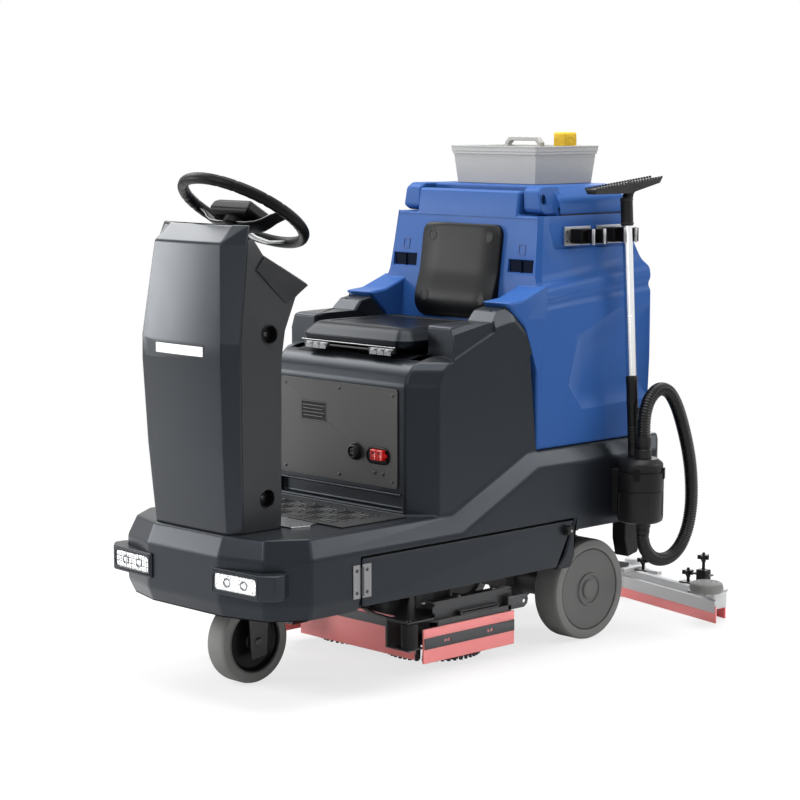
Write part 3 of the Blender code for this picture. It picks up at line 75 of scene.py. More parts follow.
# camera, floor and light
def makeCamera(settings):
    data = bpy.data.cameras.new("viewCamera")
    camera = linkData("viewCamera", data)
    data.lens, data.sensor_width = settings["lens"], settings["sensor"]
    data.clip_end = 60
    camera.location = settings["place"]
    camera.rotation_euler = (math.pi / 2 - settings["pitch"], 0, settings["yaw"])
    bpy.context.scene.camera = camera


def makeLamp(name, settings):
    data = bpy.data.lights.new(name, "AREA")
    data.shape, data.size, data.size_y = "RECTANGLE", settings["wide"], settings["high"]
    data.energy, data.color = settings["power"], settings.get("tint", (1, 1, 1))
    lamp = linkData(name, data)
    lamp.location = settings["place"]
    aim = Vector(settings["aim"]) - Vector(settings["place"])
    lamp.rotation_euler = aim.to_track_quat("-Z", "Y").to_euler()


cameraSettings = {"place": (4.08756, -4.05701, 1.34085), "lens": 105.185, "sensor": 36.0, "yaw": 0.802059,
        "pitch": 0.126267}
lightSettings = {
    "keyLamp": {"place": (-3.85, -3.05, 1.4), "aim": (0, -0.69, 0.95), "wide": 1.3, "high": 1.3,
        "power": 100},
    "frontLamp": {"place": (-0.5, -4.4, 3.6), "aim": (0, -0.2, 0.6), "wide": 1.8, "high": 1.4, "power": 110},
    "topLamp": {"place": (0.2, 0.1, 4.2), "aim": (0, 0, 0.4), "wide": 3.0, "high": 3.0, "power": 190},
    "rimLamp": {"place": (2.9, 3.1, 2.35), "aim": (0.2, 0, 0.4), "wide": 1.9, "high": 1.3, "power": 62},
    "sideLamp": {"place": (4.2, 1.2, 3.0), "aim": (0, 0.1, 0.5), "wide": 2.0, "high": 1.6, "power": 30},
    "slopeLamp": {"place": (-3.0, -0.5, 3.4), "aim": (0, -0.6, 0.5), "wide": 2.0, "high": 2.0, "power": 100},
    "faceLamp": {"place": (4.7, -4.7, 1.5), "aim": (0, -0.3, 0.6), "wide": 1.8, "high": 1.2, "power": 15},
    "backLamp": {"place": (-1.8, 4.2, 2.4), "aim": (0, 0.2, 0.6), "wide": 2.0, "high": 2.0, "power": 50},
}
makeCamera(cameraSettings)
for lampName, lampFacts in lightSettings.items():
    makeLamp(lampName, lampFacts)
bpy.context.scene.view_settings.view_transform = "Standard"


def nodeIn(tree, kind, values=None, **attributes):
    # a value is a constant or the socket that feeds it
    node = tree.nodes.new(kind)
    for key, value in attributes.items():
        setattr(node, key, value)
    for key, value in (values or {}).items():
        if isinstance(value, bpy.types.NodeSocket):
            tree.links.new(value, node.inputs[key])
        else:
            node.inputs[key].default_value = value
    return node


def mathsIn(tree, operation, *values, clamp=False):
    return nodeIn(tree, "ShaderNodeMath", dict(enumerate(values)), operation=operation,
            use_clamp=clamp).outputs[0]


def mixIn(tree, factor, first, second):
    return nodeIn(tree, "ShaderNodeMixShader", {0: factor, 1: first.outputs[0],
            2: second.outputs[0]}).outputs[0]


def makeWorld(settings):
    world = bpy.data.worlds.new("studio")
    bpy.context.scene.world = world
    world.use_nodes = True
    tree = world.node_tree
    tree.nodes.clear()
    ray = nodeIn(tree, "ShaderNodeLightPath").outputs
    seen = mathsIn(tree, "MAXIMUM", ray["Is Camera Ray"], ray["Is Transmission Ray"])
    shiny = mathsIn(tree, "MAXIMUM", seen, ray["Is Glossy Ray"])
    fill = nodeIn(tree, "ShaderNodeBackground", {"Color": (*settings["fillTint"], 1),
            "Strength": settings["fill"]})
    white = nodeIn(tree, "ShaderNodeBackground", {"Color": (1, 1, 1, 1), "Strength": 1.0})
    nodeIn(tree, "ShaderNodeOutputWorld", {0: mixIn(tree, shiny, fill, white)})


def makeFloor(settings):
    bm = bmesh.new()
    bmesh.ops.create_circle(bm, cap_ends=True, segments=64, radius=settings["radius"])
    mesh = meshFrom("studioFloor", bm)
    floor = linkData("studioFloor", mesh)
    floor.location.z = settings["height"]
    paint = bpy.data.materials.new("floorPaint")
    paint.use_nodes = True
    tree = paint.node_tree
    tree.nodes.clear()
    lit = nodeIn(tree, "ShaderNodeBsdfDiffuse", {"Color": (*settings["paint"], 1)})
    glow = nodeIn(tree, "ShaderNodeEmission", {"Color": (1, 1, 1, 1)})
    place = nodeIn(tree, "ShaderNodeTexCoord").outputs["Object"]
    distance = nodeIn(tree, "ShaderNodeVectorMath", {0: place}, operation="LENGTH").outputs["Value"]
    fade = nodeIn(tree, "ShaderNodeMapRange", {"Value": distance, "From Min": settings["fadeStart"],
            "From Max": settings["fadeEnd"], "To Min": settings["glow"]})
    ray = nodeIn(tree, "ShaderNodeLightPath").outputs["Is Camera Ray"]
    seen = mathsIn(tree, "MULTIPLY", fade.outputs["Result"], ray)
    nodeIn(tree, "ShaderNodeOutputMaterial", {0: mixIn(tree, seen, lit, glow)})
    mesh.materials.append(paint)


makeWorld({"fill": 0.2, "fillTint": (0.97, 0.985, 1.0)})
makeFloor({"radius": 14.0, "height": -0.0004, "paint": (0.93, 0.93, 0.93), "fadeStart": 0.9, "fadeEnd": 2.6,
        "glow": 0.72})
print("studio ready")


# finishes
def newGroup(name, inputs, outputs):
    group = bpy.data.node_groups.new(name, "ShaderNodeTree")
    for label, kind, value in inputs:
        socket = group.interface.new_socket(label, in_out="INPUT", socket_type=kind)
        if value is not None:
            socket.default_value = value
    for label, kind in outputs:
        group.interface.new_socket(label, in_out="OUTPUT", socket_type=kind)
    return group, group.nodes.new("NodeGroupInput"), group.nodes.new("NodeGroupOutput")


floatKind, colourKind, vectorKind = "NodeSocketFloat", "NodeSocketColor", "NodeSocketVector"


def glossInto(group, sink, swing, into):
    change = mathsIn(group, "MULTIPLY", swing, into["Gloss Change"])
    group.links.new(mathsIn(group, "ADD", change, into["Gloss Base"], clamp=True), sink.inputs["Roughness"])


def bumpInto(group, sink, height, strength, distance):
    bump = nodeIn(group, "ShaderNodeBump", {"Height": height, "Strength": strength, "Distance": distance})
    group.links.new(bump.outputs["Normal"], sink.inputs["Normal"])


def objectPlace(group):
    return nodeIn(group, "ShaderNodeTexCoord").outputs["Object"]


def scaledTint(group, tint, scale):
    return nodeIn(group, "ShaderNodeVectorMath", {0: tint, "Scale": scale}, operation="SCALE").outputs[0]


def blendTint(group, factor, first, second):
    mix = nodeIn(group, "ShaderNodeMix", {"Factor": factor, "A": first, "B": second}, data_type="RGBA")
    return mix.outputs["Result"]


def buildMouldedSkin():
    # mottled colour, slight gloss changes and a fine moulded grain
    group, source, sink = newGroup("mouldedSkin", [("Tint", colourKind, (0.1, 0.1, 0.1, 1)),
            ("Mottle", floatKind, 0.1), ("Mottle Scale", floatKind, 9.0), ("Grain Scale", floatKind, 900.0),
            ("Grain Depth", floatKind, 0.06), ("Gloss Base", floatKind, 0.45),
            ("Gloss Change", floatKind, 0.08), ("Dust", floatKind, 0.0), ("Worn Edge", floatKind, 0.0)],
            [("Tint", colourKind), ("Roughness", floatKind), ("Normal", vectorKind)])
    into, place = source.outputs, objectPlace(group)
    cloud, grain = [nodeIn(group, "ShaderNodeTexNoise", {"Vector": place, "Scale": into[scale],
            "Detail": detail, "Roughness": rough}).outputs["Fac"]
            for scale, detail, rough in (("Mottle Scale", 5.0, 0.6), ("Grain Scale", 2.0, 0.7))]
    swing = mathsIn(group, "SUBTRACT", cloud, 0.5)
    bright = mathsIn(group, "ADD", mathsIn(group, "MULTIPLY", swing, into["Mottle"]), 1.0)
    scaled = scaledTint(group, into["Tint"], bright)
    # worn, lighter edges
    shape = nodeIn(group, "ShaderNodeNewGeometry").outputs
    edge = nodeIn(group, "ShaderNodeMapRange", {"Value": shape["Pointiness"], "From Min": 0.52,
            "From Max": 0.6})
    patchy = mathsIn(group, "MULTIPLY", edge.outputs["Result"], cloud)
    worn = mathsIn(group, "MULTIPLY", patchy, into["Worn Edge"], clamp=True)
    light = nodeIn(group, "ShaderNodeVectorMath", {0: scaled, 1: (0.09, 0.09, 0.09)},
            operation="ADD").outputs[0]
    wornTint = blendTint(group, worn, scaled, light)
    # painted top light: paler, in patches, where the surface faces up
    split = nodeIn(group, "ShaderNodeSeparateXYZ", {0: shape["Normal"]})
    up = nodeIn(group, "ShaderNodeMapRange", {"Value": split.outputs["Z"], "From Min": 0.55, "From Max": 1.0})
    upFacingLight = mathsIn(group, "MULTIPLY", up.outputs["Result"], into["Dust"])
    paintedTopLight = mathsIn(group, "MULTIPLY", upFacingLight, cloud, clamp=True)
    group.links.new(blendTint(group, paintedTopLight, wornTint, (0.42, 0.41, 0.39, 1)), sink.inputs["Tint"])
    glossInto(group, sink, swing, into)
    bumpInto(group, sink, grain, into["Grain Depth"], 0.0006)
    return group


def buildDrawnMetal():
    # fine lines along one axis of the piece
    group, source, sink = newGroup("drawnMetal", [("Tint", colourKind, (0.6, 0.6, 0.6, 1)),
            ("Stretch", vectorKind, (400.0, 400.0, 8.0)), ("Line Depth", floatKind, 0.08),
            ("Gloss Base", floatKind, 0.25), ("Gloss Change", floatKind, 0.2)],
            [("Tint", colourKind), ("Roughness", floatKind), ("Normal", vectorKind)])
    into = source.outputs
    stretch = nodeIn(group, "ShaderNodeVectorMath", {0: objectPlace(group), 1: into["Stretch"]},
            operation="MULTIPLY").outputs[0]
    lines = nodeIn(group, "ShaderNodeTexNoise", {"Vector": stretch, "Scale": 1.0,
            "Detail": 3.0}).outputs["Fac"]
    glossInto(group, sink, mathsIn(group, "SUBTRACT", lines, 0.5), into)
    shade = mathsIn(group, "MULTIPLY_ADD", lines, 0.25, 0.88)
    group.links.new(scaledTint(group, into["Tint"], shade), sink.inputs["Tint"])
    bumpInto(group, sink, lines, into["Line Depth"], 0.0003)
    return group


def buildSpeckle():
    # small light and dark grains, as in cast metal, foam or a faceted reflector
    group, source, sink = newGroup("speckle", [("Tint", colourKind, (0.5, 0.5, 0.5, 1)),
            ("Fleck", colourKind, (0.2, 0.2, 0.2, 1)), ("Fleck Scale", floatKind, 260.0),
            ("Fleck Share", floatKind, 0.35), ("Pit Depth", floatKind, 0.2)],
            [("Tint", colourKind), ("Normal", vectorKind)])
    into = source.outputs
    cells = nodeIn(group, "ShaderNodeTexVoronoi", {"Vector": objectPlace(group),
            "Scale": into["Fleck Scale"]})
    near = mathsIn(group, "LESS_THAN", cells.outputs["Distance"], into["Fleck Share"])
    group.links.new(blendTint(group, near, into["Tint"], into["Fleck"]), sink.inputs["Tint"])
    bumpInto(group, sink, cells.outputs["Distance"], into["Pit Depth"], 0.0012)
    return group


groups = {"mouldedSkin": buildMouldedSkin(), "drawnMetal": buildDrawnMetal(), "speckle": buildSpeckle()}


def makeFinish(name, groupName, values, **shaderValues):
    made = bpy.data.materials.new(name)
    made.use_nodes = True
    tree = made.node_tree
    shader = tree.nodes["Principled BSDF"]
    for key, value in shaderValues.items():
        shader.inputs[key.replace("_", " ")].default_value = value
    effect = tree.nodes.new("ShaderNodeGroup")
    effect.node_tree = groups[groupName]
    for key, value in values.items():
        effect.inputs[key].default_value = value
    tree.links.new(effect.outputs["Tint"], shader.inputs["Base Color"])
    tree.links.new(effect.outputs["Normal"], shader.inputs["Normal"])
    if "Roughness" in effect.outputs:
        tree.links.new(effect.outputs["Roughness"], shader.inputs["Roughness"])
    made.diffuse_color = values.get("Tint", (0.5, 0.5, 0.5, 1))
    return made


# the seventh value of a skin is painted top light on the faces that look up
def skin(name, tint, gloss=0.45, grain=0.06, grainScale=900.0, mottle=0.12, dust=0.0, worn=0.0, change=0.08,
        **shaderValues):
    return makeFinish(name, "mouldedSkin", {"Tint": (*tint, 1), "Gloss Base": gloss, "Grain Depth": grain,
            "Grain Scale": grainScale, "Mottle": mottle, "Dust": dust, "Worn Edge": worn,
            "Gloss Change": change}, **shaderValues)


def metal(name, tint, gloss, stretch, metallic):
    return makeFinish(name, "drawnMetal", {"Tint": (*tint, 1), "Gloss Base": gloss, "Stretch": stretch},
            Metallic=metallic)


# seventh number of each skin: painted top light on upward faces
finishes = {
    "body": skin("bodyGrey", (0.0075, 0.0088, 0.0115), 0.33, 0.08, 1100, 0.1, 0.02, 0.5,
        Specular_IOR_Level=0.24, Specular_Tint=(0.78, 0.88, 1.0, 1)),
    "column": skin("columnGrey", (0.0075, 0.0088, 0.0115), 0.3, 0.05, 1100, 0.1, 0.02, 0.5,
        Specular_Tint=(0.82, 0.9, 1.0, 1), Specular_IOR_Level=0.3),
    "black": skin("blackPlastic", (0.0035, 0.0036, 0.0041), 0.38, 0.1, 1000, 0.15, 0.02, 0.3,
        Specular_IOR_Level=0.16),
    "gripBlack": skin("gripBlack", (0.003, 0.003, 0.0035), 0.42, 0.08, 1500, 0.12, Specular_IOR_Level=0.09),
    "seatSkin": skin("seatSkin", (0.0022, 0.0027, 0.0036), 0.3, 0.16, 700, 0.12, 0.0, Specular_IOR_Level=0.11,
        Specular_Tint=(0.74, 0.86, 1.0, 1)),
    "blue": skin("tankBlue", (0.02, 0.078, 0.262), 0.44, 0.14, 620, 0.1, 0.0, 0.4, Specular_IOR_Level=0.13),
    "blueDark": skin("tankBlueDeep", (0.012, 0.05, 0.18), 0.55, 0.12, 620, 0.1),
    "trayGrey": skin("trayGrey", (0.345, 0.345, 0.338), 0.55, 0.3, 520, 0.07, 0.0),
    "paleGrey": skin("paleGrey", (0.52, 0.525, 0.53), 0.42, 0.08, 900, 0.06, 0.0),
    "panelSheet": skin("panelSheet", (0.047, 0.047, 0.046), 0.5, 0.28, 800, 0.12, 0.0, 0.3,
        Specular_IOR_Level=0.3),
    "tyre": skin("greyTyre", (0.165, 0.164, 0.16), 0.55, 0.2, 420, 0.1, 0.0, Specular_IOR_Level=0.25),
    "hub": skin("hubGrey", (0.1, 0.101, 0.098), 0.42, 0.14, 700, 0.1, 0.0, 0.3, Specular_IOR_Level=0.3),
    "rubber": skin("blackRubber", (0.006, 0.006, 0.006), 0.62, 0.25, 600, 0.15, 0.05,
        Specular_IOR_Level=0.25),
    "mat": skin("matMoulded", (0.0085, 0.0092, 0.011), 0.42, 0.16, 900, 0.15, 0.08, Specular_IOR_Level=0.25),
    "bladeRed": skin("bladeRed", (0.94, 0.275, 0.27), 0.3, 0.06, 300, 0.1, 0.0, Subsurface_Weight=0.25,
        Subsurface_Scale=0.01),
    "plugRed": skin("plugRed", (0.62, 0.012, 0.01), 0.32, 0.08, 900, 0.08),
    "stripBlue": skin("stripBlue", (0.03, 0.11, 0.42), 0.35, 0.05, 900, 0.05),
    "whiteLabel": skin("whiteLabel", (0.72, 0.73, 0.74), 0.35, 0.04, 900, 0.05),
    "labelInk": skin("labelInk", (0.0035, 0.0035, 0.004), 0.34, 0.05, 900, 0.1, Specular_IOR_Level=0.12),
    "steelDark": metal("steelDark", (0.055, 0.056, 0.058), 0.42, (90.0, 90.0, 90.0), 0.55),
    "steelBright": metal("steelBright", (0.66, 0.67, 0.68), 0.22, (30.0, 420.0, 420.0), 1.0),
    "zinc": metal("zincPlate", (0.3, 0.305, 0.31), 0.4, (160.0, 160.0, 160.0), 0.9),
    "hingeSteel": metal("hingeSteel", (0.13, 0.132, 0.135), 0.4, (160.0, 160.0, 160.0), 0.9),
    "tubeAluminium": metal("tubeAluminium", (0.82, 0.83, 0.84), 0.16, (500.0, 500.0, 6.0), 1.0),
    "cast": makeFinish("castHousing", "speckle", {"Tint": (0.075, 0.076, 0.078, 1),
        "Fleck": (0.055, 0.056, 0.058, 1), "Fleck Scale": 420.0, "Pit Depth": 0.25}, Roughness=0.5,
        Metallic=0.6),
    "sponge": makeFinish("spongeYellow", "speckle", {"Tint": (0.66, 0.43, 0.028, 1),
        "Fleck": (0.5, 0.3, 0.01, 1), "Fleck Scale": 330.0, "Pit Depth": 0.9}, Roughness=0.9),
    "reflector": makeFinish("lampReflector", "speckle", {"Tint": (0.93, 0.93, 0.93, 1),
        "Fleck": (0.42, 0.44, 0.47, 1), "Fleck Scale": 150.0, "Fleck Share": 0.3, "Pit Depth": 0.8},
        Roughness=0.12, Metallic=0.25),
    "lightBar": skin("lightBar", (0.93, 0.94, 0.95), 0.14, 0.03, 500, 0.03),
    "bristle": skin("bristleBlack", (0.01, 0.01, 0.011), 0.45, 0.1, 900, 0.3),
}
print("finishes ready")


# shape helpers
def linkMesh(name, bm):
    bmesh.ops.recalc_face_normals(bm, faces=bm.faces)
    return linkData(name, meshFrom(name, bm))


def applyAll(obj):
    graph = bpy.context.evaluated_depsgraph_get()
    graph.update()
    mesh = bpy.data.meshes.new_from_object(obj.evaluated_get(graph))
    mesh.transform(obj.matrix_world)
    obj.modifiers.clear()
    if obj.type == "MESH":
        obj.data = mesh
        obj.matrix_world = Matrix.Identity(4)
        return obj
    name = obj.name
    bpy.data.objects.remove(obj, do_unlink=True)
    return linkData(name, mesh)


def smooth(obj, angle=38.0):
    obj.data.shade_smooth()
    obj.data.set_sharp_from_angle(angle=math.radians(angle))
    return obj


bevelShare = 0.45   # of the room a neighbouring edge leaves
overshoot = 0.6     # of the bevel width, past which a corner goes back


def roundOff(obj, width, segments=2, angle=28.0, broad=None):
    # bevels each sharp edge by as much as its neighbours leave room for; edges in the broad box take more
    most = broad[2] if broad else width
    bm = bmesh.new()
    bm.from_mesh(obj.data)
    bmesh.ops.dissolve_limit(bm, angle_limit=math.radians(0.6), verts=bm.verts, edges=bm.edges)
    weight = bm.edges.layers.float.get("bevel_weight_edge") or bm.edges.layers.float.new("bevel_weight_edge")
    for edge in bm.edges:
        edge[weight] = 0.0
        if len(edge.link_faces) != 2 or edge.calc_face_angle(0.0) < math.radians(angle):
            continue
        room = edge.calc_length()
        for vert in edge.verts:
            for other in vert.link_edges:
                if other is not edge:
                    along = (other.other_vert(vert).co - vert.co)
                    away = along.cross((edge.other_vert(vert).co - vert.co).normalized()).length
                    if away > 0.0004:
                        room = min(room, away)
        middle = (edge.verts[0].co + edge.verts[1].co) / 2
        wide = broad and all(broad[0][i] <= middle[i] <= broad[1][i] for i in range(3))
        edge[weight] = min(most if wide else width, room * bevelShare) / most
    bm.to_mesh(obj.data)
    before = BVHTree.FromBMesh(bm)
    bm.free()
    step = obj.modifiers.new("roundOff", "BEVEL")
    step.width, step.segments = most, segments
    step.limit_method, step.use_clamp_overlap = "WEIGHT", False
    applyAll(obj)
    # corners that overshoot are drawn back to the face they left
    for vert in obj.data.vertices:
        spot, _, _, gap = before.find_nearest(vert.co)
        if gap > most * overshoot:
            vert.co = spot
    smooth(obj)
    even = obj.modifiers.new("evenShade", "WEIGHTED_NORMAL")
    even.keep_sharp = True
    return obj


def carve(obj, cutters, operation="DIFFERENCE"):
    for cutter in cutters:
        step = obj.modifiers.new("carve", "BOOLEAN")
        step.operation, step.object, step.solver = operation, cutter, "EXACT"
    applyAll(obj)
    for cutter in cutters:
        bpy.data.objects.remove(cutter, do_unlink=True)
    return obj


def nodeCopy(name, node):
    made = linkData(name, frame["nodes"][node].data.copy())
    made.data.materials.clear()
    bm = bmesh.new()
    bm.from_mesh(made.data)
    bmesh.ops.remove_doubles(bm, verts=bm.verts, dist=0.00002)
    bmesh.ops.dissolve_limit(bm, angle_limit=math.radians(0.4), verts=bm.verts, edges=bm.edges)
    bm.to_mesh(made.data)
    bm.free()
    for layer in list(made.data.uv_layers):
        made.data.uv_layers.remove(layer)
    return made


def settle(obj, finish, body, replaced=()):
    obj.data.materials.clear()
    obj.data.materials.append(finishes[finish])
    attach(obj, body)
    if replaced:
        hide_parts(*([replaced] if isinstance(replaced, str) else replaced))
    return obj


def block(name, low, high, width=0.001, segments=2):
    bm = bmesh.new()
    bmesh.ops.create_cube(bm, size=1.0)
    low, high = Vector([min(a, b) for a, b in zip(low, high)]), Vector([max(a, b) for a, b in zip(low, high)])
    for vert in bm.verts:
        vert.co = Vector(a * b for a, b in zip(vert.co, high - low)) + (high + low) / 2
    made = linkMesh(name, bm)
    return roundOff(made, width, segments) if width else made


axisTurns = {"X": Matrix(((0, 0, 1), (1, 0, 0), (0, 1, 0))), "Y": Matrix(((1, 0, 0), (0, 0, 1), (0, 1, 0))),
        "Z": Matrix.Identity(3)}


def sheetOf(name, outline, axis, low, high, width=0.0, segments=2):
    # outline given a thickness: (y, z) along X, (x, z) along Y, (x, y) along Z
    low, high = sorted((low, high))
    bm = bmesh.new()
    turn = axisTurns[axis]
    lower = [bm.verts.new(turn @ Vector((a, b, low))) for a, b in outline]
    upper = [bm.verts.new(turn @ Vector((a, b, high))) for a, b in outline]
    for i in range(len(outline)):
        j = (i + 1) % len(outline)
        bm.faces.new((lower[i], lower[j], upper[j], upper[i]))
    bm.faces.new(lower[::-1])
    bm.faces.new(upper)
    made = linkMesh(name, bm)
    return roundOff(made, width, segments) if width else made


def loftOf(name, rings, width=0.0, segments=2):
    bm = bmesh.new()
    rows = [[bm.verts.new(p) for p in ring] for ring in rings]
    count = len(rows[0])
    for below, above in zip(rows, rows[1:]):
        for i in range(count):
            j = (i + 1) % count
            bm.faces.new((below[i], below[j], above[j], above[i]))
    bm.faces.new(rows[0][::-1])
    bm.faces.new(rows[-1])
    made = linkMesh(name, bm)
    return roundOff(made, width, segments) if width else made


def bothFaces(profile):
    # a wheel's section from one face, repeated on the other
    return profile + [(r, -h) for r, h in reversed(profile)]


def placeAt(x, y, z, axis=(0, 0, 1)):
    return Matrix.Translation((x, y, z)) @ Vector((0, 0,
            1)).rotation_difference(Vector(axis)).to_matrix().to_4x4()


def latheOf(name, profile, place, steps=48, angle=38.0):
    # profile of (radius, height), open at the axis or closed on itself
    bm = bmesh.new()
    closed = profile[0][0] > 1e-6
    rows = []
    for i in range(steps):
        turn = 2 * math.pi * i / steps
        rows.append([None if r < 1e-6 else bm.verts.new((r * math.cos(turn), r * math.sin(turn), h))
                for r, h in profile])
    ends = {k: bm.verts.new((0, 0, profile[k][1])) for k in (0, len(profile) - 1) if profile[k][0] < 1e-6}
    pairs = list(range(len(profile) - 1)) + ([len(profile) - 1] if closed else [])
    for i in range(steps):
        here, there = rows[i], rows[(i + 1) % steps]
        for k in pairs:
            m = (k + 1) % len(profile)
            corners = [here[k] or ends[k], here[m] or ends[m], there[m] or ends[m], there[k] or ends[k]]
            bm.faces.new(list(dict.fromkeys(corners)))
    made = linkMesh(name, bm)
    made.data.transform(place)
    return smooth(made, angle)


def tubeOf(name, points, radius, sides=14, closed=False):
    # round bar along points, with mitred joints and flat ends
    bm = bmesh.new()
    path = [Vector(p) for p in points]
    count = len(path)
    rings, before = [], None
    for i, point in enumerate(path):
        ahead = path[(i + 1) % count] - point if closed or i + 1 < count else point - path[i - 1]
        behind = point - path[i - 1] if closed or i else ahead
        tangent = (ahead.normalized() + behind.normalized()).normalized()
        if before is None:
            side = tangent.orthogonal().normalized()
        else:
            side = (before - tangent * before.dot(tangent)).normalized()
        before = side
        other = tangent.cross(side)
        size = radius[i] if isinstance(radius, (list, tuple)) else radius
        rings.append([bm.verts.new(point + (side * math.cos(a) + other * math.sin(a)) * size)
                for a in (2 * math.pi * k / sides for k in range(sides))])
    for a, b in zip(rings, rings[1:] + (rings[:1] if closed else [])):
        for k in range(sides):
            m = (k + 1) % sides
            bm.faces.new((a[k], a[m], b[m], b[k]))
    if not closed:
        bm.faces.new(rings[0][::-1])
        bm.faces.new(rings[-1])
    return smooth(linkMesh(name, bm), 50)


def gather(name, parts):
    # several loose solids as one mesh
    meshes = [applyAll(p) for p in parts]
    bm = bmesh.new()
    for part in meshes:
        bm.from_mesh(part.data)
    mesh = meshFrom(name, bm)
    for part in meshes:
        bpy.data.objects.remove(part, do_unlink=True)
    return linkData(name, mesh)


def mirrorOf(obj, name):
    mesh = obj.data.copy()
    mesh.transform(Matrix.Scale(-1, 4, (1, 0, 0)))
    mesh.flip_normals()
    twin = linkData(name, mesh)
    for step in obj.modifiers:
        copied = twin.modifiers.new(step.name, step.type)
        if step.type == "WEIGHTED_NORMAL":
            copied.keep_sharp = True
    return twin


def screwOf(name, place, radius=0.006, height=0.003):
    # pan head with a cross recess
    head = latheOf(name, [(0, height), (radius * 0.55, height * 0.95), (radius * 0.9, height * 0.55),
            (radius, height * 0.1), (radius, -0.001), (0, -0.001)], Matrix.Identity(4), 20)
    carve(head, [block("slot", (-radius * a, -radius * b, height * 0.45),
            (radius * a, radius * b, height * 2), 0) for a, b in ((0.5, 0.11), (0.11, 0.5))])
    smooth(head)
    head.data.transform(place)
    return head


def roundedLoop(width, height, radius, steps=5):
    # rectangle with round corners, about its middle
    points = []
    for cx, cy, start in ((1, 1, 0), (-1, 1, 90), (-1, -1, 180), (1, -1, 270)):
        for k in range(steps + 1):
            a = math.radians(start + 90 * k / steps)
            points.append((cx * (width / 2 - radius) + radius * math.cos(a),
                    cy * (height / 2 - radius) + radius * math.sin(a)))
    return points


# vacuum hose
hoseSettings = {
    "diameter": 0.034, "ribPitch": 0.0066, "ribDepth": 0.0017,
    "route": ((0.383, 0.367, 0.5203), (0.383, 0.367, 0.545), (0.383, 0.372, 0.581), (0.382, 0.391, 0.615),
        (0.382, 0.425, 0.634), (0.382, 0.463, 0.624), (0.382, 0.496, 0.584), (0.382, 0.526, 0.518),
        (0.382, 0.548, 0.448), (0.381, 0.559, 0.385), (0.381, 0.559, 0.325), (0.381, 0.546, 0.27),
        (0.381, 0.519, 0.228), (0.381, 0.482, 0.205), (0.381, 0.443, 0.201), (0.382, 0.407, 0.212),
        (0.383, 0.379, 0.236), (0.383, 0.367, 0.264), (0.383, 0.367, 0.2797)),
}


def smoothRoute(points, pieces):
    path = [Vector(p) for p in points]
    out = [path[0]]
    for a, b, c, d in zip(path, path[1:], path[2:], path[3:]):
        for i in range(pieces):
            t = i / pieces
            out.append(0.5 * ((2 * b) + (c - a) * t + (2 * a - 5 * b + 4 * c - d) * t ** 2
                    + (3 * b - a - 3 * c + d) * t ** 3))
    return out + path[-2:]


def evenSteps(path, step):
    # points a fixed distance apart along a path
    lengths = [0.0]
    for a, b in zip(path, path[1:]):
        lengths.append(lengths[-1] + (b - a).length)
    count = max(2, round(lengths[-1] / step))
    out, k = [], 0
    for i in range(count + 1):
        want = lengths[-1] * i / count
        while k < len(path) - 2 and lengths[k + 1] < want:
            k += 1
        span = lengths[k + 1] - lengths[k]
        out.append(path[k].lerp(path[k + 1], (want - lengths[k]) / span if span else 0))
    return out, lengths[-1]


def makeHose(settings):
    path = smoothRoute(settings["route"], 8)
    line, length = evenSteps(path, settings["ribPitch"] / 4)
    high = settings["diameter"] / 2
    low = high - settings["ribDepth"]
    cycle = (high, high, low, low)
    sizes = [high if i < 3 or i > len(line) - 4 else cycle[i % 4] for i in range(len(line))]
    hose = tubeOf("ribbedHose", line, sizes, 22)
    smooth(hose, 75)
    settle(hose, "hoseBlack", "chassis", "vacuum_hose")
    print("hose length", round(length, 3))


finishes["hoseBlack"] = skin("hoseBlack", (0.0035, 0.0035, 0.004), 0.33, 0.05, 900, 0.1, 0.0,
        Specular_IOR_Level=0.22)
makeHose(hoseSettings)


def camelOf(node):
    words = node.split("_")
    return words[0] + "".join(w.capitalize() for w in words[1:])


def crown(obj, stations, move):
    # cuts large faces at the stations and lets them bulge a little
    bm = bmesh.new()
    bm.from_mesh(obj.data)
    for axis, places in zip("xyz", stations):
        normal = Vector([1.0 if axis == a else 0.0 for a in "xyz"])
        for place in places:
            bmesh.ops.bisect_plane(bm, geom=bm.verts[:] + bm.edges[:] + bm.faces[:], dist=0.00001,
                    plane_co=normal * place, plane_no=normal)
    for vert in bm.verts:
        vert.co += Vector(move(vert.co))
    bm.to_mesh(obj.data)
    bm.free()
    return obj


def span(low, high, count):
    return [low + (high - low) * (i + 1) / (count + 1) for i in range(count)]


def hump(value, low, high):
    share = min(1.0, max(0.0, (value - low) / (high - low)))
    return 4 * share * (1 - share)


def piece(node, finish, width, segments=2, cuts=(), bulge=None, angle=28.0, broad=None):
    made = nodeCopy(camelOf(node), node)
    if cuts:
        carve(made, cuts)
    roundOff(made, width, segments, angle, broad=broad)
    if bulge:
        crown(made, *bulge)
    return standFor(made, finish, node)


def standFor(obj, finish, node):
    return settle(obj, finish, bodyOf[node], node)


def addOn(obj, finish, body="chassis"):
    return settle(obj, finish, body)


def addAll(name, parts, finish, body="chassis"):
    return addOn(gather(name, parts), finish, body)


def bothSides(obj, finish, leftBody, rightBody):
    twin = mirrorOf(obj, obj.name.replace("Left", "") + "Right")
    addOn(obj, finish, leftBody)
    addOn(twin, finish, rightBody)


# steering column
columnSettings = {
    "crown": 0.005, "half": 0.14, "edge": 0.0055, "edgeAngle": 6.0, "holeRadius": 0.0205, "cupDepth": 0.016,
    "holes": ((-0.665, 0.83, 0.1665), (-0.663, 0.458, 0.1505)),
    "cheek": ((-0.6727, 1.0035), (-0.6986, 0.9755), (-0.6131, 0.8957), (-0.5912, 0.9043), (-0.575, 0.915),
        (-0.545, 0.934)),
}


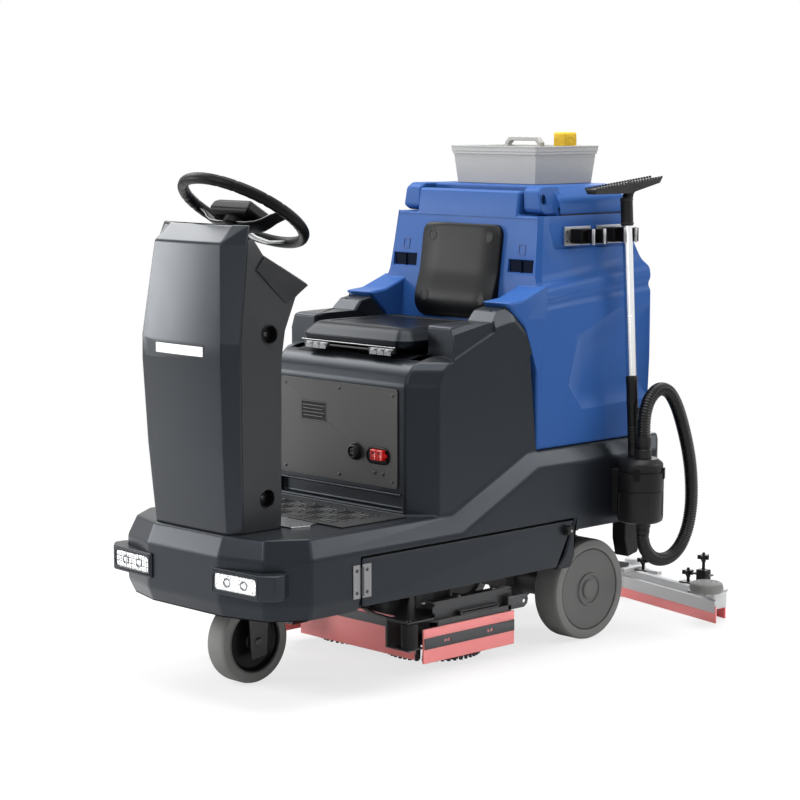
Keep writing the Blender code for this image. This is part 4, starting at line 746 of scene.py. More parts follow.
def columnPush(point):
    across = hump(point.x, -columnSettings["half"], columnSettings["half"])
    onFront = 1 if point.y < -0.7 and point.z < 1.05 else 0
    return (0, -columnSettings["crown"] * across * onFront * hump(min(point.z, 0.9), 0.2, 1.6), 0)


def makeColumn(settings):
    xs = span(-settings["half"], settings["half"], 11)
    piece("column_front_cover", "column", settings["edge"], 3, angle=settings["edgeAngle"],
            bulge=((xs, (), span(0.4, 0.75, 3)), columnPush))
    piece("light_strip", "lightBar", 0.0007, 2, bulge=((xs, (), ()), columnPush))
    cutters = []
    for side in (1, -1):
        for y, z, x in settings["holes"]:
            cutters.append(latheOf("holeCut", [(0, -0.03), (settings["holeRadius"], -0.03),
                    (settings["holeRadius"], 0.03), (0, 0.03)], placeAt(side * x, y, z, (1, 0, 0)), 28))
    cheeks = []
    for side in (1, -1):
        cheeks.append(sheetOf("cheek", settings["cheek"], "X", side * 0.15, side * 0.1605))
    piece("column_rear_cover", "columnSide", 0.0035, 3, cuts=cutters)
    for cheek in cheeks:
        roundOff(cheek, 0.002, 2)
    addAll("columnCheeks", cheeks, "cheekGrey")
    radius, deep = settings["holeRadius"], settings["cupDepth"]
    cups, screws = [], []
    for side in (1, -1):
        for y, z, x in settings["holes"]:
            place = placeAt(side * (x - 0.0045), y, z, (side, 0, 0))
            cups.append(latheOf("cup", [(0, -deep), (radius * 0.82, -deep), (radius * 0.86, -deep + 0.002),
                    (radius - 0.0002, 0.003), (radius + 0.0012, 0.0042), (radius + 0.002, 0.0036),
                    (radius - 0.0002, -0.001), (radius * 0.9, -deep - 0.002), (0, -deep - 0.002)], place, 40))
            screws.append(screwOf("cupScrew", place @ Matrix.Translation((0, 0, -deep)), 0.0075, 0.005))
    addAll("columnCups", cups, "black")
    addAll("columnCupScrews", screws, "steelDark")


finishes["columnSide"] = skin("columnSide", (0.017, 0.0185, 0.021), 0.36, 0.06, 1100, 0.1, 0.0, 0.5,
        Specular_IOR_Level=0.25)
finishes["cheekGrey"] = skin("cheekGrey", (0.008, 0.0085, 0.01), 0.38, 0.08, 1100, 0.1, 0.0, 0.3,
        Specular_IOR_Level=0.22)
makeColumn(columnSettings)

consoleSettings = {"low": (-0.538, 0.936), "high": (-0.617, 0.979), "half": 0.137}


def consoleFrame(settings):
    # x across, y up the slope, z out of the panel
    low, high = Vector((0, *settings["low"])), Vector((0, *settings["high"]))
    along = (high - low).normalized()
    out = Vector((1, 0, 0)).cross(along)
    if out.z < 0:
        out = -out
    turn = Matrix((Vector((1, 0, 0)), along, out)).transposed()
    return Matrix.Translation(low) @ turn.to_4x4(), (high - low).length


def makeConsole(settings):
    place, length = consoleFrame(settings)
    piece("console_panel", "black", 0.0005, 2)
    top = 0.003
    label = sheetOf("consoleLabel", [(x, y + 0.02) for x, y in roundedLoop(0.258, 0.026, 0.004)], "Z",
            top - 0.0006, top + 0.0002, 0.0002, 1)
    edge = sheetOf("consoleStripe", [(x, y + length - 0.008) for x, y in roundedLoop(0.262, 0.0045, 0.002)],
            "Z", top - 0.0006, top + 0.0004, 0.0003, 1)
    sideStripes = [sheetOf("stripe", [(x + s * 0.1325, y + length / 2 + 0.002)
            for x, y in roundedLoop(0.0035, length - 0.02, 0.0015)], "Z", top - 0.0006, top + 0.0004, 0.0003,
            1) for s in (1, -1)]
    buttons = []
    for i in range(6):
        x = -0.105 + i * 0.042
        if abs(x - 0.06) < 0.016 or abs(x + 0.06) < 0.016:
            continue
        buttons.append(block("button", (x - 0.011, 0.014, top - 0.001),
                (x + 0.011, 0.026, top + 0.0035), 0.0012, 2))
        buttons.append(block("lampDot", (x - 0.003, 0.0285, top - 0.001),
                (x + 0.003, 0.0315, top + 0.0012), 0.0005, 1))
    screen = block("screen", (-0.034, length - 0.05, top - 0.001), (0.034, length - 0.018,
            top + 0.0012), 0.0008, 2)
    for made, finish in ((label, "whiteLabel"), (gather("consoleEdges", [edge, *sideStripes]), "stripBlue"),
            (gather("consoleButtons", buttons), "gripBlack"), (screen, "gripBlack")):
        made.data.transform(place)
        addOn(made, finish)
    piece("direction_switch", "gripBlack", 0.0015, 3)
    piece("key_switch", "black", 0.0005, 2)


makeConsole(consoleSettings)

wheelSettings = {
    "centre": (0.0, -0.6, 1.0975), "tilt": math.radians(31.2), "ring": 0.1495, "grip": 0.0133, "fingers": 44,
    "seams": (math.radians(-68), math.radians(-52), math.radians(-24), math.radians(-8), math.radians(-112),
        math.radians(-128), math.radians(-156), math.radians(-172)),
    "hubLow": -0.046, "hubHigh": -0.028,
}


def wheelPlace(settings):
    axis = Vector((0, math.sin(settings["tilt"]), math.cos(settings["tilt"])))
    return placeAt(*settings["centre"], axis)


def makeRim(settings):
    bm = bmesh.new()
    steps, sides = 180, 18
    rows = []
    for i in range(steps):
        a = 2 * math.pi * i / steps
        thick = settings["grip"]
        for seam in settings["seams"]:
            gap = abs((a - seam + math.pi) % (2 * math.pi) - math.pi)
            if gap < 0.01:
                thick -= 0.0011
        gripShare = max(0.0, abs(math.cos(a)) - 0.35) / 0.65
        ring = []
        for k in range(sides):
            b = 2 * math.pi * k / sides
            inward, under = math.cos(b), math.sin(b)
            finger = 0.5 - 0.5 * math.cos(a * settings["fingers"])
            bumps = 0.0009 * max(0.0, inward * -0.7 - under * 0.7) * finger * gripShare
            size = thick - 0.0012 + bumps + 0.0012 * abs(under)
            r = settings["ring"] + inward * size
            ring.append(bm.verts.new((r * math.cos(a), r * math.sin(a), under * size)))
        rows.append(ring)
    for i in range(steps):
        a, b = rows[i], rows[(i + 1) % steps]
        for k in range(sides):
            m = (k + 1) % sides
            bm.faces.new((a[k], a[m], b[m], b[k]))
    return smooth(linkMesh("rim", bm), 60)


def spokeOf(name, stations, turn, thick):
    rings = []
    for r, w, z in stations:
        rings.append([(r, -w, z), (r, w, z), (r, w * 0.86, z + thick), (r, -w * 0.86, z + thick)])
    made = loftOf(name, rings, 0.0022, 2)
    made.data.transform(Matrix.Rotation(math.radians(turn), 4, "Z"))
    return made


def makeSteeringWheel(settings):
    place, low = wheelPlace(settings), settings["hubLow"]
    side = ((0.0, 0.0235, low + 0.001), (0.052, 0.0225, low + 0.002), (0.078, 0.0205, low + 0.006),
            (0.096, 0.018, low + 0.014), (0.112, 0.0165, low + 0.025), (0.128, 0.015, -0.014),
            (0.145, 0.014, -0.006))
    rear = ((0.02, 0.012, low + 0.004), (0.06, 0.0115, low + 0.006), (0.1, 0.011, -0.03),
            (0.143, 0.01, -0.006))
    hub = latheOf("hub", [(0, low), (0.03, low), (0.034, low + 0.004), (0.034, settings["hubHigh"]),
            (0, settings["hubHigh"])], Matrix.Identity(4))
    wheel = gather("steeringWheel", [makeRim(settings), hub, spokeOf("a", side, 0, 0.009),
            spokeOf("b", side, 180, 0.009)])
    wheel.data.transform(place)
    settle(wheel, "gripBlack", "steering", "steering_wheel")
    metal = gather("steeringSpoke", [spokeOf("c", rear, 90, 0.008)])
    metal.data.transform(place)
    addOn(metal, "zinc", "steering")
    # bright edge lines of the side spokes
    lines = []
    for s in (1, -1):
        for edge in (1, -1):
            lines.append(tubeOf("line", [(s * r, edge * (w + 0.0002), z + 0.0045)
                    for r, w, z in side], 0.0011, 8))
    trims = gather("spokeTrims", lines)
    trims.data.transform(place)
    addOn(trims, "zinc", "steering")
    pad = loftOf("wheelPad", [[(s * x, y, z) for s, x, y in ((-1, hx, -hy), (1, hx, -hy), (1, hx, hy),
            (-1, hx, hy))] for hx, hy, z in ((0.06, 0.034, settings["hubHigh"] + 0.0004),
            (0.069, 0.043, -0.017), (0.064, 0.04, 0.004), (0.054, 0.033, 0.01))], 0.005, 4)
    pad.data.transform(place)
    standFor(pad, "padGloss", "wheel_pad")
    cap = loftOf("padEmblem", [[(x, y, z) for x, y in roundedLoop(0.036 - i, 0.02 - i, 0.006)]
            for i, z in ((0.0, 0.0085), (0.0, 0.0107), (0.002, 0.0114))])
    cap.data.transform(place)
    addOn(cap, "black", "steering")
    piece("steering_shaft", "steelDark", 0.001, 2)


def makeBoot(settings):
    place = wheelPlace(settings)
    rings = []
    for h, hx, hy in ((-0.0505, 0.027, 0.025), (-0.056, 0.033, 0.03), (-0.078, 0.034, 0.031),
            (-0.082, 0.03, 0.028), (-0.102, 0.0295, 0.0275), (-0.106, 0.032, 0.03), (-0.127, 0.03, 0.028)):
        rings.append([(x, y, h) for x, y in roundedLoop(hx * 2, hy * 2, 0.01)])
    boot = loftOf("steeringBoot", rings)
    boot.data.transform(place)
    standFor(smooth(boot, 40), "black", "steering_boot")


finishes["padGloss"] = skin("padGloss", (0.0035, 0.0035, 0.004), 0.42, 0.06, 900, 0.12,
        Specular_IOR_Level=0.1)
makeSteeringWheel(wheelSettings)
makeBoot(wheelSettings)
print("column ready")

# bumper, lamps and platform
lampSettings = {"inner": 0.108, "outer": 0.262, "faceInner": -0.796, "faceOuter": -0.786, "low": 0.256,
        "high": 0.314, "ribs": 13, "bulbOutline": [(0.0085, -0.003), (0.0105, -0.001), (0.0105, 0.0002),
        (0.0085, -0.0012), (0.006, -0.0022)],}


def lampPlace(settings):
    # x along the lamp's face, y up, z forwards, from the middle of the face
    start = Vector((settings["inner"], settings["faceInner"], (settings["low"] + settings["high"]) / 2))
    end = Vector((settings["outer"], settings["faceOuter"], start.z))
    along = (end - start).normalized()
    up = Vector((0, 0, 1))
    turn = Matrix((along, up, along.cross(up))).transposed()
    return Matrix.Translation((start + end) / 2) @ turn.to_4x4(), (end - start).length


def makeLamps(settings):
    place, length = lampPlace(settings)
    high = settings["high"] - settings["low"]
    piece("headlamp_housing_left", "body", 0.005, 3)
    piece("headlamp_housing_right", "body", 0.005, 3)
    wide, tall = length - 0.02, high - 0.02
    frameRing = sheetOf("lampFrameLeft", roundedLoop(length - 0.008, high - 0.008, 0.008), "Z",
            -0.002, 0.0014)
    hole = sheetOf("hole", roundedLoop(wide, tall, 0.008), "Z", -0.01, 0.01)
    carve(frameRing, [hole])
    roundOff(frameRing, 0.0012, 2)
    frameRing.data.transform(place)
    bothSides(frameRing, "body", "chassis", "chassis")
    ribs = []
    for i in range(settings["ribs"]):
        x = -wide / 2 + wide * (i + 0.5) / settings["ribs"]
        half = wide / settings["ribs"] / 2 - 0.0001
        for k in range(3):
            y = -tall / 2 + tall * (k + 0.5) / 3
            tip = (x + 0.001 * math.sin(i * 2.1 + k), y + 0.001 * math.cos(i * 1.7), -0.0006)
            base = [(x - half, y - tall / 6), (x + half, y - tall / 6), (x + half, y + tall / 6),
                    (x - half, y + tall / 6)]
            bm = bmesh.new()
            corners = [bm.verts.new((a, b, -0.0022)) for a, b in base]
            lower = [bm.verts.new((a, b, -0.005)) for a, b in base]
            peak = bm.verts.new(tip)
            for a in range(4):
                b = (a + 1) % 4
                bm.faces.new((corners[a], corners[b], peak))
                bm.faces.new((lower[a], lower[b], corners[b], corners[a]))
            bm.faces.new(lower)
            ribs.append(linkMesh("rib", bm))
    lens = gather("headlampLensLeft", ribs)
    lens.data.transform(place)
    twin = mirrorOf(lens, "headlampLensRight")
    standFor(lens, "reflector", "headlamp_lens_left")
    standFor(twin, "reflector", "headlamp_lens_right")
    bulbs = []
    for x in (-wide * 0.2, wide * 0.2):
        bulbs.append(latheOf("bulb", settings["bulbOutline"], Matrix.Translation((x, 0, 0)), 24))
    rings = gather("lampRingsLeft", bulbs)
    rings.data.transform(place)
    bothSides(rings, "lampRing", "chassis", "chassis")


finishes["lampRing"] = skin("lampRing", (0.1, 0.11, 0.12), 0.2, 0.02, 900, 0.1)
makeLamps(lampSettings)

matSettings = {"half": 0.243, "front": -0.523, "back": -0.322, "top": 0.3883, "pitch": 0.054, "rise": 0.0022}


def makeMat(settings):
    piece("floor_mat", "mat", 0.0012, 2)
    bars = []
    columns = int(2 * settings["half"] / settings["pitch"])
    rows = int((settings["back"] - settings["front"]) / settings["pitch"] + 0.6)
    z0, z1 = settings["top"] - 0.001, settings["top"] + settings["rise"]
    for i in range(columns):
        for k in range(rows):
            x = -settings["half"] + 0.032 + i * settings["pitch"]
            y = settings["front"] + 0.03 + k * settings["pitch"] * 0.94
            if y > settings["back"] - 0.022 or x > settings["half"] - 0.024:
                continue
            lie = (i + k) % 2
            for offset in (-0.008, 0.008):
                if lie:
                    low, high = (x - 0.021, y + offset - 0.0032), (x + 0.021, y + offset + 0.0032)
                else:
                    low, high = (x + offset - 0.0032, y - 0.021), (x + offset + 0.0032, y + 0.021)
                bars.append(block("bar", (*low, z0), (*high, z1), 0.0012, 1))
            bars.append(block("stud", (x + 0.0225, y + 0.0225, z0), (x + 0.0305, y + 0.0305, z1), 0.0012, 1))
    addAll("matRelief", bars, "mat")


makeMat(matSettings)

plateSettings = {"outline": ((-0.165, -0.606), (0.165, -0.606), (0.178, -0.56), (0.171, -0.545),
        (0.06, -0.527), (-0.06, -0.527), (-0.171, -0.545), (-0.178, -0.56)), "low": 0.3842, "high": 0.3874}


def makePedals(settings):
    made = sheetOf("pedalPlate", settings["outline"], "Z", settings["low"], settings["high"], 0.0006, 2)
    stand = nodeCopy("stand", "pedal_plate")
    base = block("base", (-0.3, -0.7, 0.3), (0.3, -0.4, settings["high"] - 0.0002), 0)
    carve(stand, [base])
    standFor(gather("pedalPlate", [made, stand]), "steelBright", "pedal_plate")
    screws = [screwOf("plateScrew", placeAt(x, y, settings["high"]), 0.0042, 0.0018)
            for x, y in ((0.16, -0.553), (0.12, -0.545), (-0.16, -0.553), (-0.12, -0.545), (0.15, -0.598),
            (-0.15, -0.598))]
    addAll("plateScrews", screws, "steelDark")
    piece("accelerator_pedal", "steelDark", 0.001, 2)
    ribs = []
    frameAxis = Vector((0, -0.044, 0.043)).normalized()
    for i in range(5):
        at = Vector((-0.095, -0.5365, 0.4045)) + frameAxis * (0.008 + 0.0095 * i)
        ribs.append(tubeOf("rib", [at + Vector((-0.03, 0, 0)), at + Vector((0.03, 0, 0))], 0.0017, 8))
    addAll("pedalRibs", ribs, "rubber", "accelerator")


makePedals(plateSettings)
print("platform ready")

# body shell and doors
shellSettings = {
    "front": -0.308, "edge": 0.0065, "edgeSteps": 6, "edgeAngle": 12.0,
    "ledge": {"half": 0.214, "low": 0.394, "high": 0.43, "deep": 0.016},
    "broad": ((-0.2, -0.33, 0.69), (0.2, -0.262, 0.78), 0.02),
    "flankOutline": ((-0.2015, 0.7475), (-0.066, 0.8035), (-0.062, 0.9), (-0.2015, 0.9)),
    "topOutline": ((-0.3, 0.824), (-0.072, 0.826), (-0.034, 0.868), (-0.034, 0.95), (-0.3, 0.95)),
    "seamOutline": ((-0.0262, 0.869), (0.0385, 0.8065), (0.0548, 0.7655), (0.095, 0.7655), (0.095, 0.95),
        (-0.0262, 0.95)),
    "seamOutline2": ((0.0541, 0.767), (0.0573, 0.759), (0.078, 0.699), (0.095, 0.699), (0.095, 0.767)),
}


def makeShell(settings):
    ledge, front = settings["ledge"], settings["front"]
    cuts = [block("ledgeCut", (-ledge["half"], front - 0.02, ledge["low"]),
            (ledge["half"], front + ledge["deep"], ledge["high"]), 0)]
    # flat-topped fender with a triangular flank set in below it
    for side in (1, -1):
        cuts.append(sheetOf("flank", settings["flankOutline"], "X", side * 0.2795, side * 0.32))
        cuts.append(sheetOf("top", settings["topOutline"], "X", side * 0.18, side * 0.32))
    for side in (1, -1):
        cuts.append(sheetOf("seam", settings["seamOutline"], "X", side * 0.18, side * 0.32))
        cuts.append(sheetOf("seam", settings["seamOutline2"], "X", side * 0.2005, side * 0.32))
    piece("body_shell", "body", settings["edge"], settings["edgeSteps"], cuts=cuts,
            angle=settings["edgeAngle"], broad=settings["broad"])


makeShell(shellSettings)

doorSettings = {
    "x": 0.305, "hingeY": -0.519, "low": 0.233, "high": 0.31,
    "coreOutline": [(0, 0.016), (0.0075, 0.016), (0.0095, 0.0145), (0.0095, 0.004), (0.007, 0.0006),
        (0, 0.0006)],
    "lobeOutline": [(0, 0.0155), (0.004, 0.0155), (0.0055, 0.014), (0.0055, 0.005), (0, 0.005)],
}


def makeDoors(settings):
    for side, word in ((1, "left"), (-1, "right")):
        face = side * (settings["x"] + 0.0003)
        proud = block("proud", (face, -0.6, 0.1), (face + side * 0.05, 0.3, 0.5), 0)
        overhang = block("overhang", (side * 0.2, -0.6, 0.1), (side * 0.4, -0.5151, 0.5), 0)
        piece("side_door_" + word, "body", 0.0022, 3, cuts=(proud, overhang))
        barrel = tubeOf("hingeBarrel" + word.capitalize(), [(side * (settings["x"] + 0.004),
                settings["hingeY"], z) for z in (settings["low"] + 0.006,
                settings["high"] - 0.006)], 0.0036, 16)
        addOn(barrel, "steelDark", "door_" + word)
        knob = []
        centre = Vector((side * settings["x"], 0.172, 0.3))
        place = placeAt(*centre, (side, 0, 0))
        for i in range(6):
            a = math.radians(60 * i)
            knob.append(latheOf("lobe", settings["lobeOutline"], place
                    @ Matrix.Translation((0.0085 * math.cos(a), 0.0085 * math.sin(a), 0)), 16))
        knob.append(latheOf("core", settings["coreOutline"], place, 24))
        standFor(gather("doorKnob" + word.capitalize(), knob), "black", "door_knob_" + word)
        bolt = latheOf("knobBolt" + word.capitalize(), [(0, 0.0172), (0.003, 0.0172), (0.0036, 0.016),
                (0.0036, 0.015), (0, 0.015)], place, 12)
        addOn(bolt, "zinc", bodyOf["door_knob_" + word])
        for body, y0, y1 in (("chassis", -0.546, -0.5245), ("door_" + word, -0.5175, -0.4905)):
            leaf = block("hingeLeaf" + body.capitalize() + word.capitalize(),
                    (side * (settings["x"] + 0.0002), y0, settings["low"]),
                    (side * (settings["x"] + 0.0026), y1, settings["high"]), 0.0008, 2)
            addOn(leaf, "hingeGrey", body)
            screws = [screwOf("s", placeAt(side * (settings["x"] + 0.0025), (y0 + y1) / 2, z, (side, 0, 0)),
                    0.0045, 0.0016) for z in (settings["low"] + 0.013, settings["high"] - 0.013)]
            addAll("hingeScrews" + body.capitalize() + word.capitalize(), screws, "steelDark", body)


def makeDoorGapShade():
    # black strips behind the gap round each door: painted shade in the gap
    strips = []
    for side in (1, -1):
        x0, x1 = side * 0.2845, side * 0.2905
        strips.append(block("gapShade", (x0, -0.545, 0.316), (x1, 0.232, 0.352), 0.001, 1))
        strips.append(block("gapShade", (x0, -0.545, 0.205), (x1, -0.506, 0.317), 0.001, 1))
        strips.append(sheetOf("gapShade", ((0.176, 0.29), (0.176, 0.317), (0.232, 0.317), (0.232, 0.29)), "X",
                x0, x1, 0.001, 1))
    addAll("doorRebates", strips, "black")


finishes["hingeGrey"] = metal("hingeGrey", (0.2, 0.2, 0.205), 0.45, (300.0, 300.0, 40.0), 0.5)
makeDoors(doorSettings)
makeDoorGapShade()
print("shell ready")

# seat housing fittings
panelSettings = {
    "half": 0.205, "low": 0.445, "high": 0.68, "back": -0.3083, "thick": 0.003,
    "screws": ((-0.188, 0.665), (0.006, 0.667), (0.19, 0.665), (-0.188, 0.461), (0.006, 0.459), (0.19, 0.461),
        (0.13, 0.4765), (0.158, 0.4765)),
    "plate": (-0.131, -0.041, 0.58, 0.628),
    "capOutline": [(0, 0.009), (0.0105, 0.009), (0.0115, 0.0105), (0.0115, 0.0125), (0.0135, 0.0138),
        (0.016, 0.0132), (0.0175, 0.0105), (0.0175, 0), (0, 0)],
    "chargerCollarOutline": [(0.0185, 0.0), (0.0185, 0.003), (0.0195, 0.0042), (0.0215, 0.0036),
        (0.0222, 0.0)],
    "ledgeLipPath": [(-0.214, -0.308, 0.4315), (0.214, -0.308, 0.4315)],
}


def facing(x, y, z):
    # local x to the side, local y up, local z towards the front
    turn = Matrix(((1, 0, 0), (0, 0, -1), (0, 1, 0)))
    return Matrix.Translation((x, y, z)) @ turn.to_4x4()


def plateAt(name, width, height, radius, place, low, high, bevel=0.0004):
    made = sheetOf(name, roundedLoop(width, height, radius), "Z", low, high, bevel, 2)
    made.data.transform(place)
    return made


def makePanel(settings):
    face = settings["back"] - settings["thick"]
    middle = (settings["low"] + settings["high"]) / 2
    sheet = plateAt("accessPanel", settings["half"] * 2, settings["high"] - settings["low"], 0.008,
            facing(0, settings["back"], middle), 0.0, settings["thick"], 0.0008)
    standFor(sheet, "panelSheet", "access_panel")
    screws = [screwOf("s", placeAt(x, face, z, (0, -1, 0)), 0.0046, 0.0022) for x, z in settings["screws"]]
    addAll("panelScrews", screws, "steelDark")
    x0, x1, z0, z1 = settings["plate"]
    tag = facing((x0 + x1) / 2, face, (z0 + z1) / 2)
    addOn(plateAt("ratingPlate", x1 - x0, z1 - z0, 0.002, tag, -0.0002, 0.0006, 0.0002),
            "labelInk", "chassis")
    rim = plateAt("rim", x1 - x0 - 0.003, z1 - z0 - 0.003, 0.0015, tag, 0.0, 0.0008, 0)
    carve(rim, [plateAt("in", x1 - x0 - 0.0042, z1 - z0 - 0.0042, 0.001, tag, -0.01, 0.01, 0)])
    rows = [rim]
    for k in range(4):
        rows.append(plateAt("row", x1 - x0 - 0.012 - 0.01 * (k % 2), 0.0009, 0.0004,
                tag @ Matrix.Translation((-0.002 * (k % 2), 0.013 - 0.0085 * k, 0)), 0.0, 0.0008, 0))
    addAll("ratingRules", rows, "paleRule")
    # charger cap with two raised tabs
    cap = latheOf("cap", settings["capOutline"], placeAt(0.064, face - 0.0003, 0.521, (0, -1, 0)), 40)
    tabs = [block("tab", (0.056, face - 0.0125, 0.521 + dz), (0.072, face - 0.008, 0.521 + dz + 0.0055),
            0.001, 2) for dz in (-0.0075, 0.002)]
    standFor(gather("chargerCap", [cap, *tabs]), "black", "charger_cap")
    collar = latheOf("chargerCollar", settings["chargerCollarOutline"],
            placeAt(0.064, face, 0.521, (0, -1, 0)), 40)
    addOn(collar, "black")
    well = facing(0.141, face, 0.5185)
    surround = plateAt("connectorSurround", 0.08, 0.042, 0.019, well, -0.0002, 0.0022, 0.0008)
    carve(surround, [plateAt("in", 0.07, 0.032, 0.014, well, 0.0008, 0.01, 0)])
    addOn(smooth(surround), "gripBlack", "chassis")
    halves, slits = [], []
    for x in (0.1355, 0.1565):
        half = block("half", (x - 0.0098, face - 0.0123, 0.5085), (x + 0.0098, face - 0.0003,
                0.5335), 0.0014, 2)
        carve(half, [block("slit", (x - 0.006, face - 0.02, 0.5225), (x + 0.006, face - 0.006, 0.529), 0),
                block("slit", (x - 0.004, face - 0.02, 0.5115), (x + 0.004, face - 0.009, 0.5165), 0)])
        halves.append(smooth(half))
        slits.append(block("contact", (x - 0.0045, face - 0.009, 0.524),
                (x + 0.0045, face - 0.0062, 0.5262), 0.0004, 1))
    lug = block("lug", (0.166, face - 0.008, 0.515), (0.173, face - 0.0003, 0.524), 0.0012, 2)
    standFor(gather("batteryConnector", [*halves, lug]), "plugRed", "battery_connector")
    addAll("connectorContacts", slits, "zinc")
    # light lip under the panel
    addOn(tubeOf("ledgeLip", settings["ledgeLipPath"], 0.0022, 10), "body", "chassis")


finishes["paleRule"] = skin("paleRule", (0.22, 0.22, 0.22), 0.4, 0.03, 900, 0.05)
makePanel(panelSettings)

seatSettings = {
    "half": 0.186, "front": -0.2695, "back": 0.05, "low": 0.7655, "corner": 0.034,
    # height over the pan, inset from the outline
    "levels": ((0.0, 0.01), (0.0035, 0.003), (0.008, 0.0008), (0.018, 0.0), (0.0215, 0.0006), (0.024, 0.003),
               (0.034, 0.0125), (0.041, 0.019), (0.046, 0.0262), (0.0485, 0.034), (0.0492, 0.042),
               (0.0478, 0.05), (0.0462, 0.052), (0.047, 0.0545), (0.047, 0.07), (0.0445, 0.092),
               (0.0425, 0.112)),
}


def makeSeatPan(settings):
    width, depth = settings["half"] * 2, settings["back"] - settings["front"]
    middle = (settings["front"] + settings["back"]) / 2
    rings = []
    for rise, inset in settings["levels"]:
        radius = max(0.012, settings["corner"] - inset * 0.35)
        rings.append([(x, y + middle, settings["low"] + rise) for x, y in roundedLoop(width - 2 * inset,
                depth - 2 * inset, radius, 7)])
    seat = smooth(loftOf("seatCushion", rings), 30)
    standFor(seat, "seatSkin", "seat")
    seam = roundedLoop(width - 0.004, depth - 0.004, settings["corner"], 7)
    bead = tubeOf("seatBead", [(x, y + middle, settings["low"] + 0.0212) for x, y in seam], 0.0013, 8, True)
    addOn(bead, "black", "seat_body")


hingeSettings = {
    "y": -0.275, "z": 0.762, "radius": 0.0064, "pin": 0.0062, "rod": 0.0026,
    "seatStripBox": ((-0.17, -0.2735, 0.77), (0.158, -0.2705, 0.7722)),
}


def makeSeatHinge(settings):
    place = placeAt(0, settings["y"], settings["z"], (1, 0, 0))
    radius, pin = settings["radius"], settings["pin"]
    knuckles, pins = [], []
    for x0, x1 in ((-0.148, -0.074), (0.079, 0.153)):
        third = (x1 - x0) / 3
        for k in range(3):
            a, b = x0 + third * k + 0.0008, x0 + third * (k + 1) - 0.0008
            knuckles.append(latheOf("knuckle", [(0, b), (0.0058, b), (radius, b - 0.0008),
                    (radius, a + 0.0008), (0.0058, a), (0, a)], place, 24))
            knuckles.append(block("leaf", (a, -0.2815, 0.752), (b, -0.2795, 0.762), 0.0005, 1))
        pins.append(latheOf("pin", [(0, x1 + 0.006), (0.005, x1 + 0.006), (pin, x1 + 0.0045), (pin, x1),
                (0, x1)], place, 20))
        pins.append(latheOf("pin", [(0, x0), (pin, x0), (pin, x0 - 0.0045), (0.005, x0 - 0.006),
                (0, x0 - 0.006)], place, 20))
    standFor(gather("seatHinge", knuckles), "hingeSteel", "seat_hinge")
    # black end pins; the black rod between the two hinges is painted shade along the hinge line
    pins.append(tubeOf("rod", [(x, settings["y"], settings["z"]) for x in (-0.14, 0.14)],
            settings["rod"], 16))
    addAll("hingePinsAndShade", pins, "black")
    strip = block("seatStrip", *settings["seatStripBox"], 0.0006, 2)
    addOn(strip, "zinc", "seat_body")


makeSeatPan(seatSettings)
makeSeatHinge(hingeSettings)

backSettings = {
    "half": 0.136, "thick": 0.011, "low": 0.812, "high": 1.044, "corner": 0.026,
    "plugs": ((-0.098, 1.012), (0.098, 1.012), (-0.098, 0.862), (0.098, 0.862)),
    "plugOutline": [(0.0122, 0.0), (0.0122, 0.0006), (0.0136, 0.0006), (0.0142, 0.0), (0.0142, -0.001),
        (0.0122, -0.001)],
    "buttonOutline": [(0, 0.0004), (0.0108, 0.0004), (0.0112, 0.0), (0.0112, -0.001), (0, -0.001)],
}


def tankFrontAt(z):
    share = min(max((z - 0.76) / 0.368, 0.0), 1.0)
    return 0.085 + 0.05 * share


def lumbar(z):
    # how far the pad stands forward of its own thickness
    if z < 0.82:
        return -0.002
    if z < 0.86:
        return -0.002 + 0.012 * math.sin((z - 0.82) / 0.04 * math.pi / 2)
    return 0.01 * max(0.0, math.cos((min(z, 0.935) - 0.86) / 0.075 * math.pi / 2)) ** 2


def makeBackrest(settings):
    low, high, corner = settings["low"], settings["high"], settings["corner"]
    steps = [0.0, 0.0006, 0.0025, 0.006, 0.011, 0.018, corner]
    inner = span(low + corner, high - corner, 22)
    levels = [low + s for s in steps] + inner + [high - s for s in reversed(steps)]
    rings = []
    for z in levels:
        near = min(z - low, high - z, corner)
        half = settings["half"] - corner + math.sqrt(corner ** 2 - (corner - near) ** 2)
        edge = max(0.0, 0.002 * (1 - near / 0.004))
        back = tankFrontAt(z) - 0.0004
        front = back - settings["thick"] - lumbar(z) + edge
        rim = 0.0032
        rings.append([(-half + 0.001, back, z), (half - 0.001, back, z), (half, front + rim, z),
                (half - 0.0012, front + 0.001, z), (half - rim, front, z), (half * 0.5, front - 0.0007, z),
                (0, front - 0.001, z), (-half * 0.5, front - 0.0007, z), (-half + rim, front, z),
                (-half + 0.0012, front + 0.001, z), (-half, front + rim, z)])
    pad = smooth(loftOf("backPad", rings), 40)
    standFor(pad, "backSkin", "backrest")
    plugs = []
    for x, z in settings["plugs"]:
        y = tankFrontAt(z) - 0.0004 - settings["thick"] - lumbar(z) - 0.0005
        lean = Vector((0, -1, 0.13)).normalized() if z > 0.95 else Vector((0, -1, 0.1)).normalized()
        plugs.append(latheOf("plug", settings["plugOutline"], placeAt(x, y, z, lean), 36))
        plugs.append(latheOf("button", settings["buttonOutline"], placeAt(x, y, z, lean), 36))
    addAll("backPlugs", plugs, "backSkin")


finishes["backSkin"] = skin("backSkin", (0.003, 0.0034, 0.0042), 0.4, 0.2, 520, 0.1, 0.0,
        Specular_IOR_Level=0.14)
makeBackrest(backSettings)
print("seat ready")

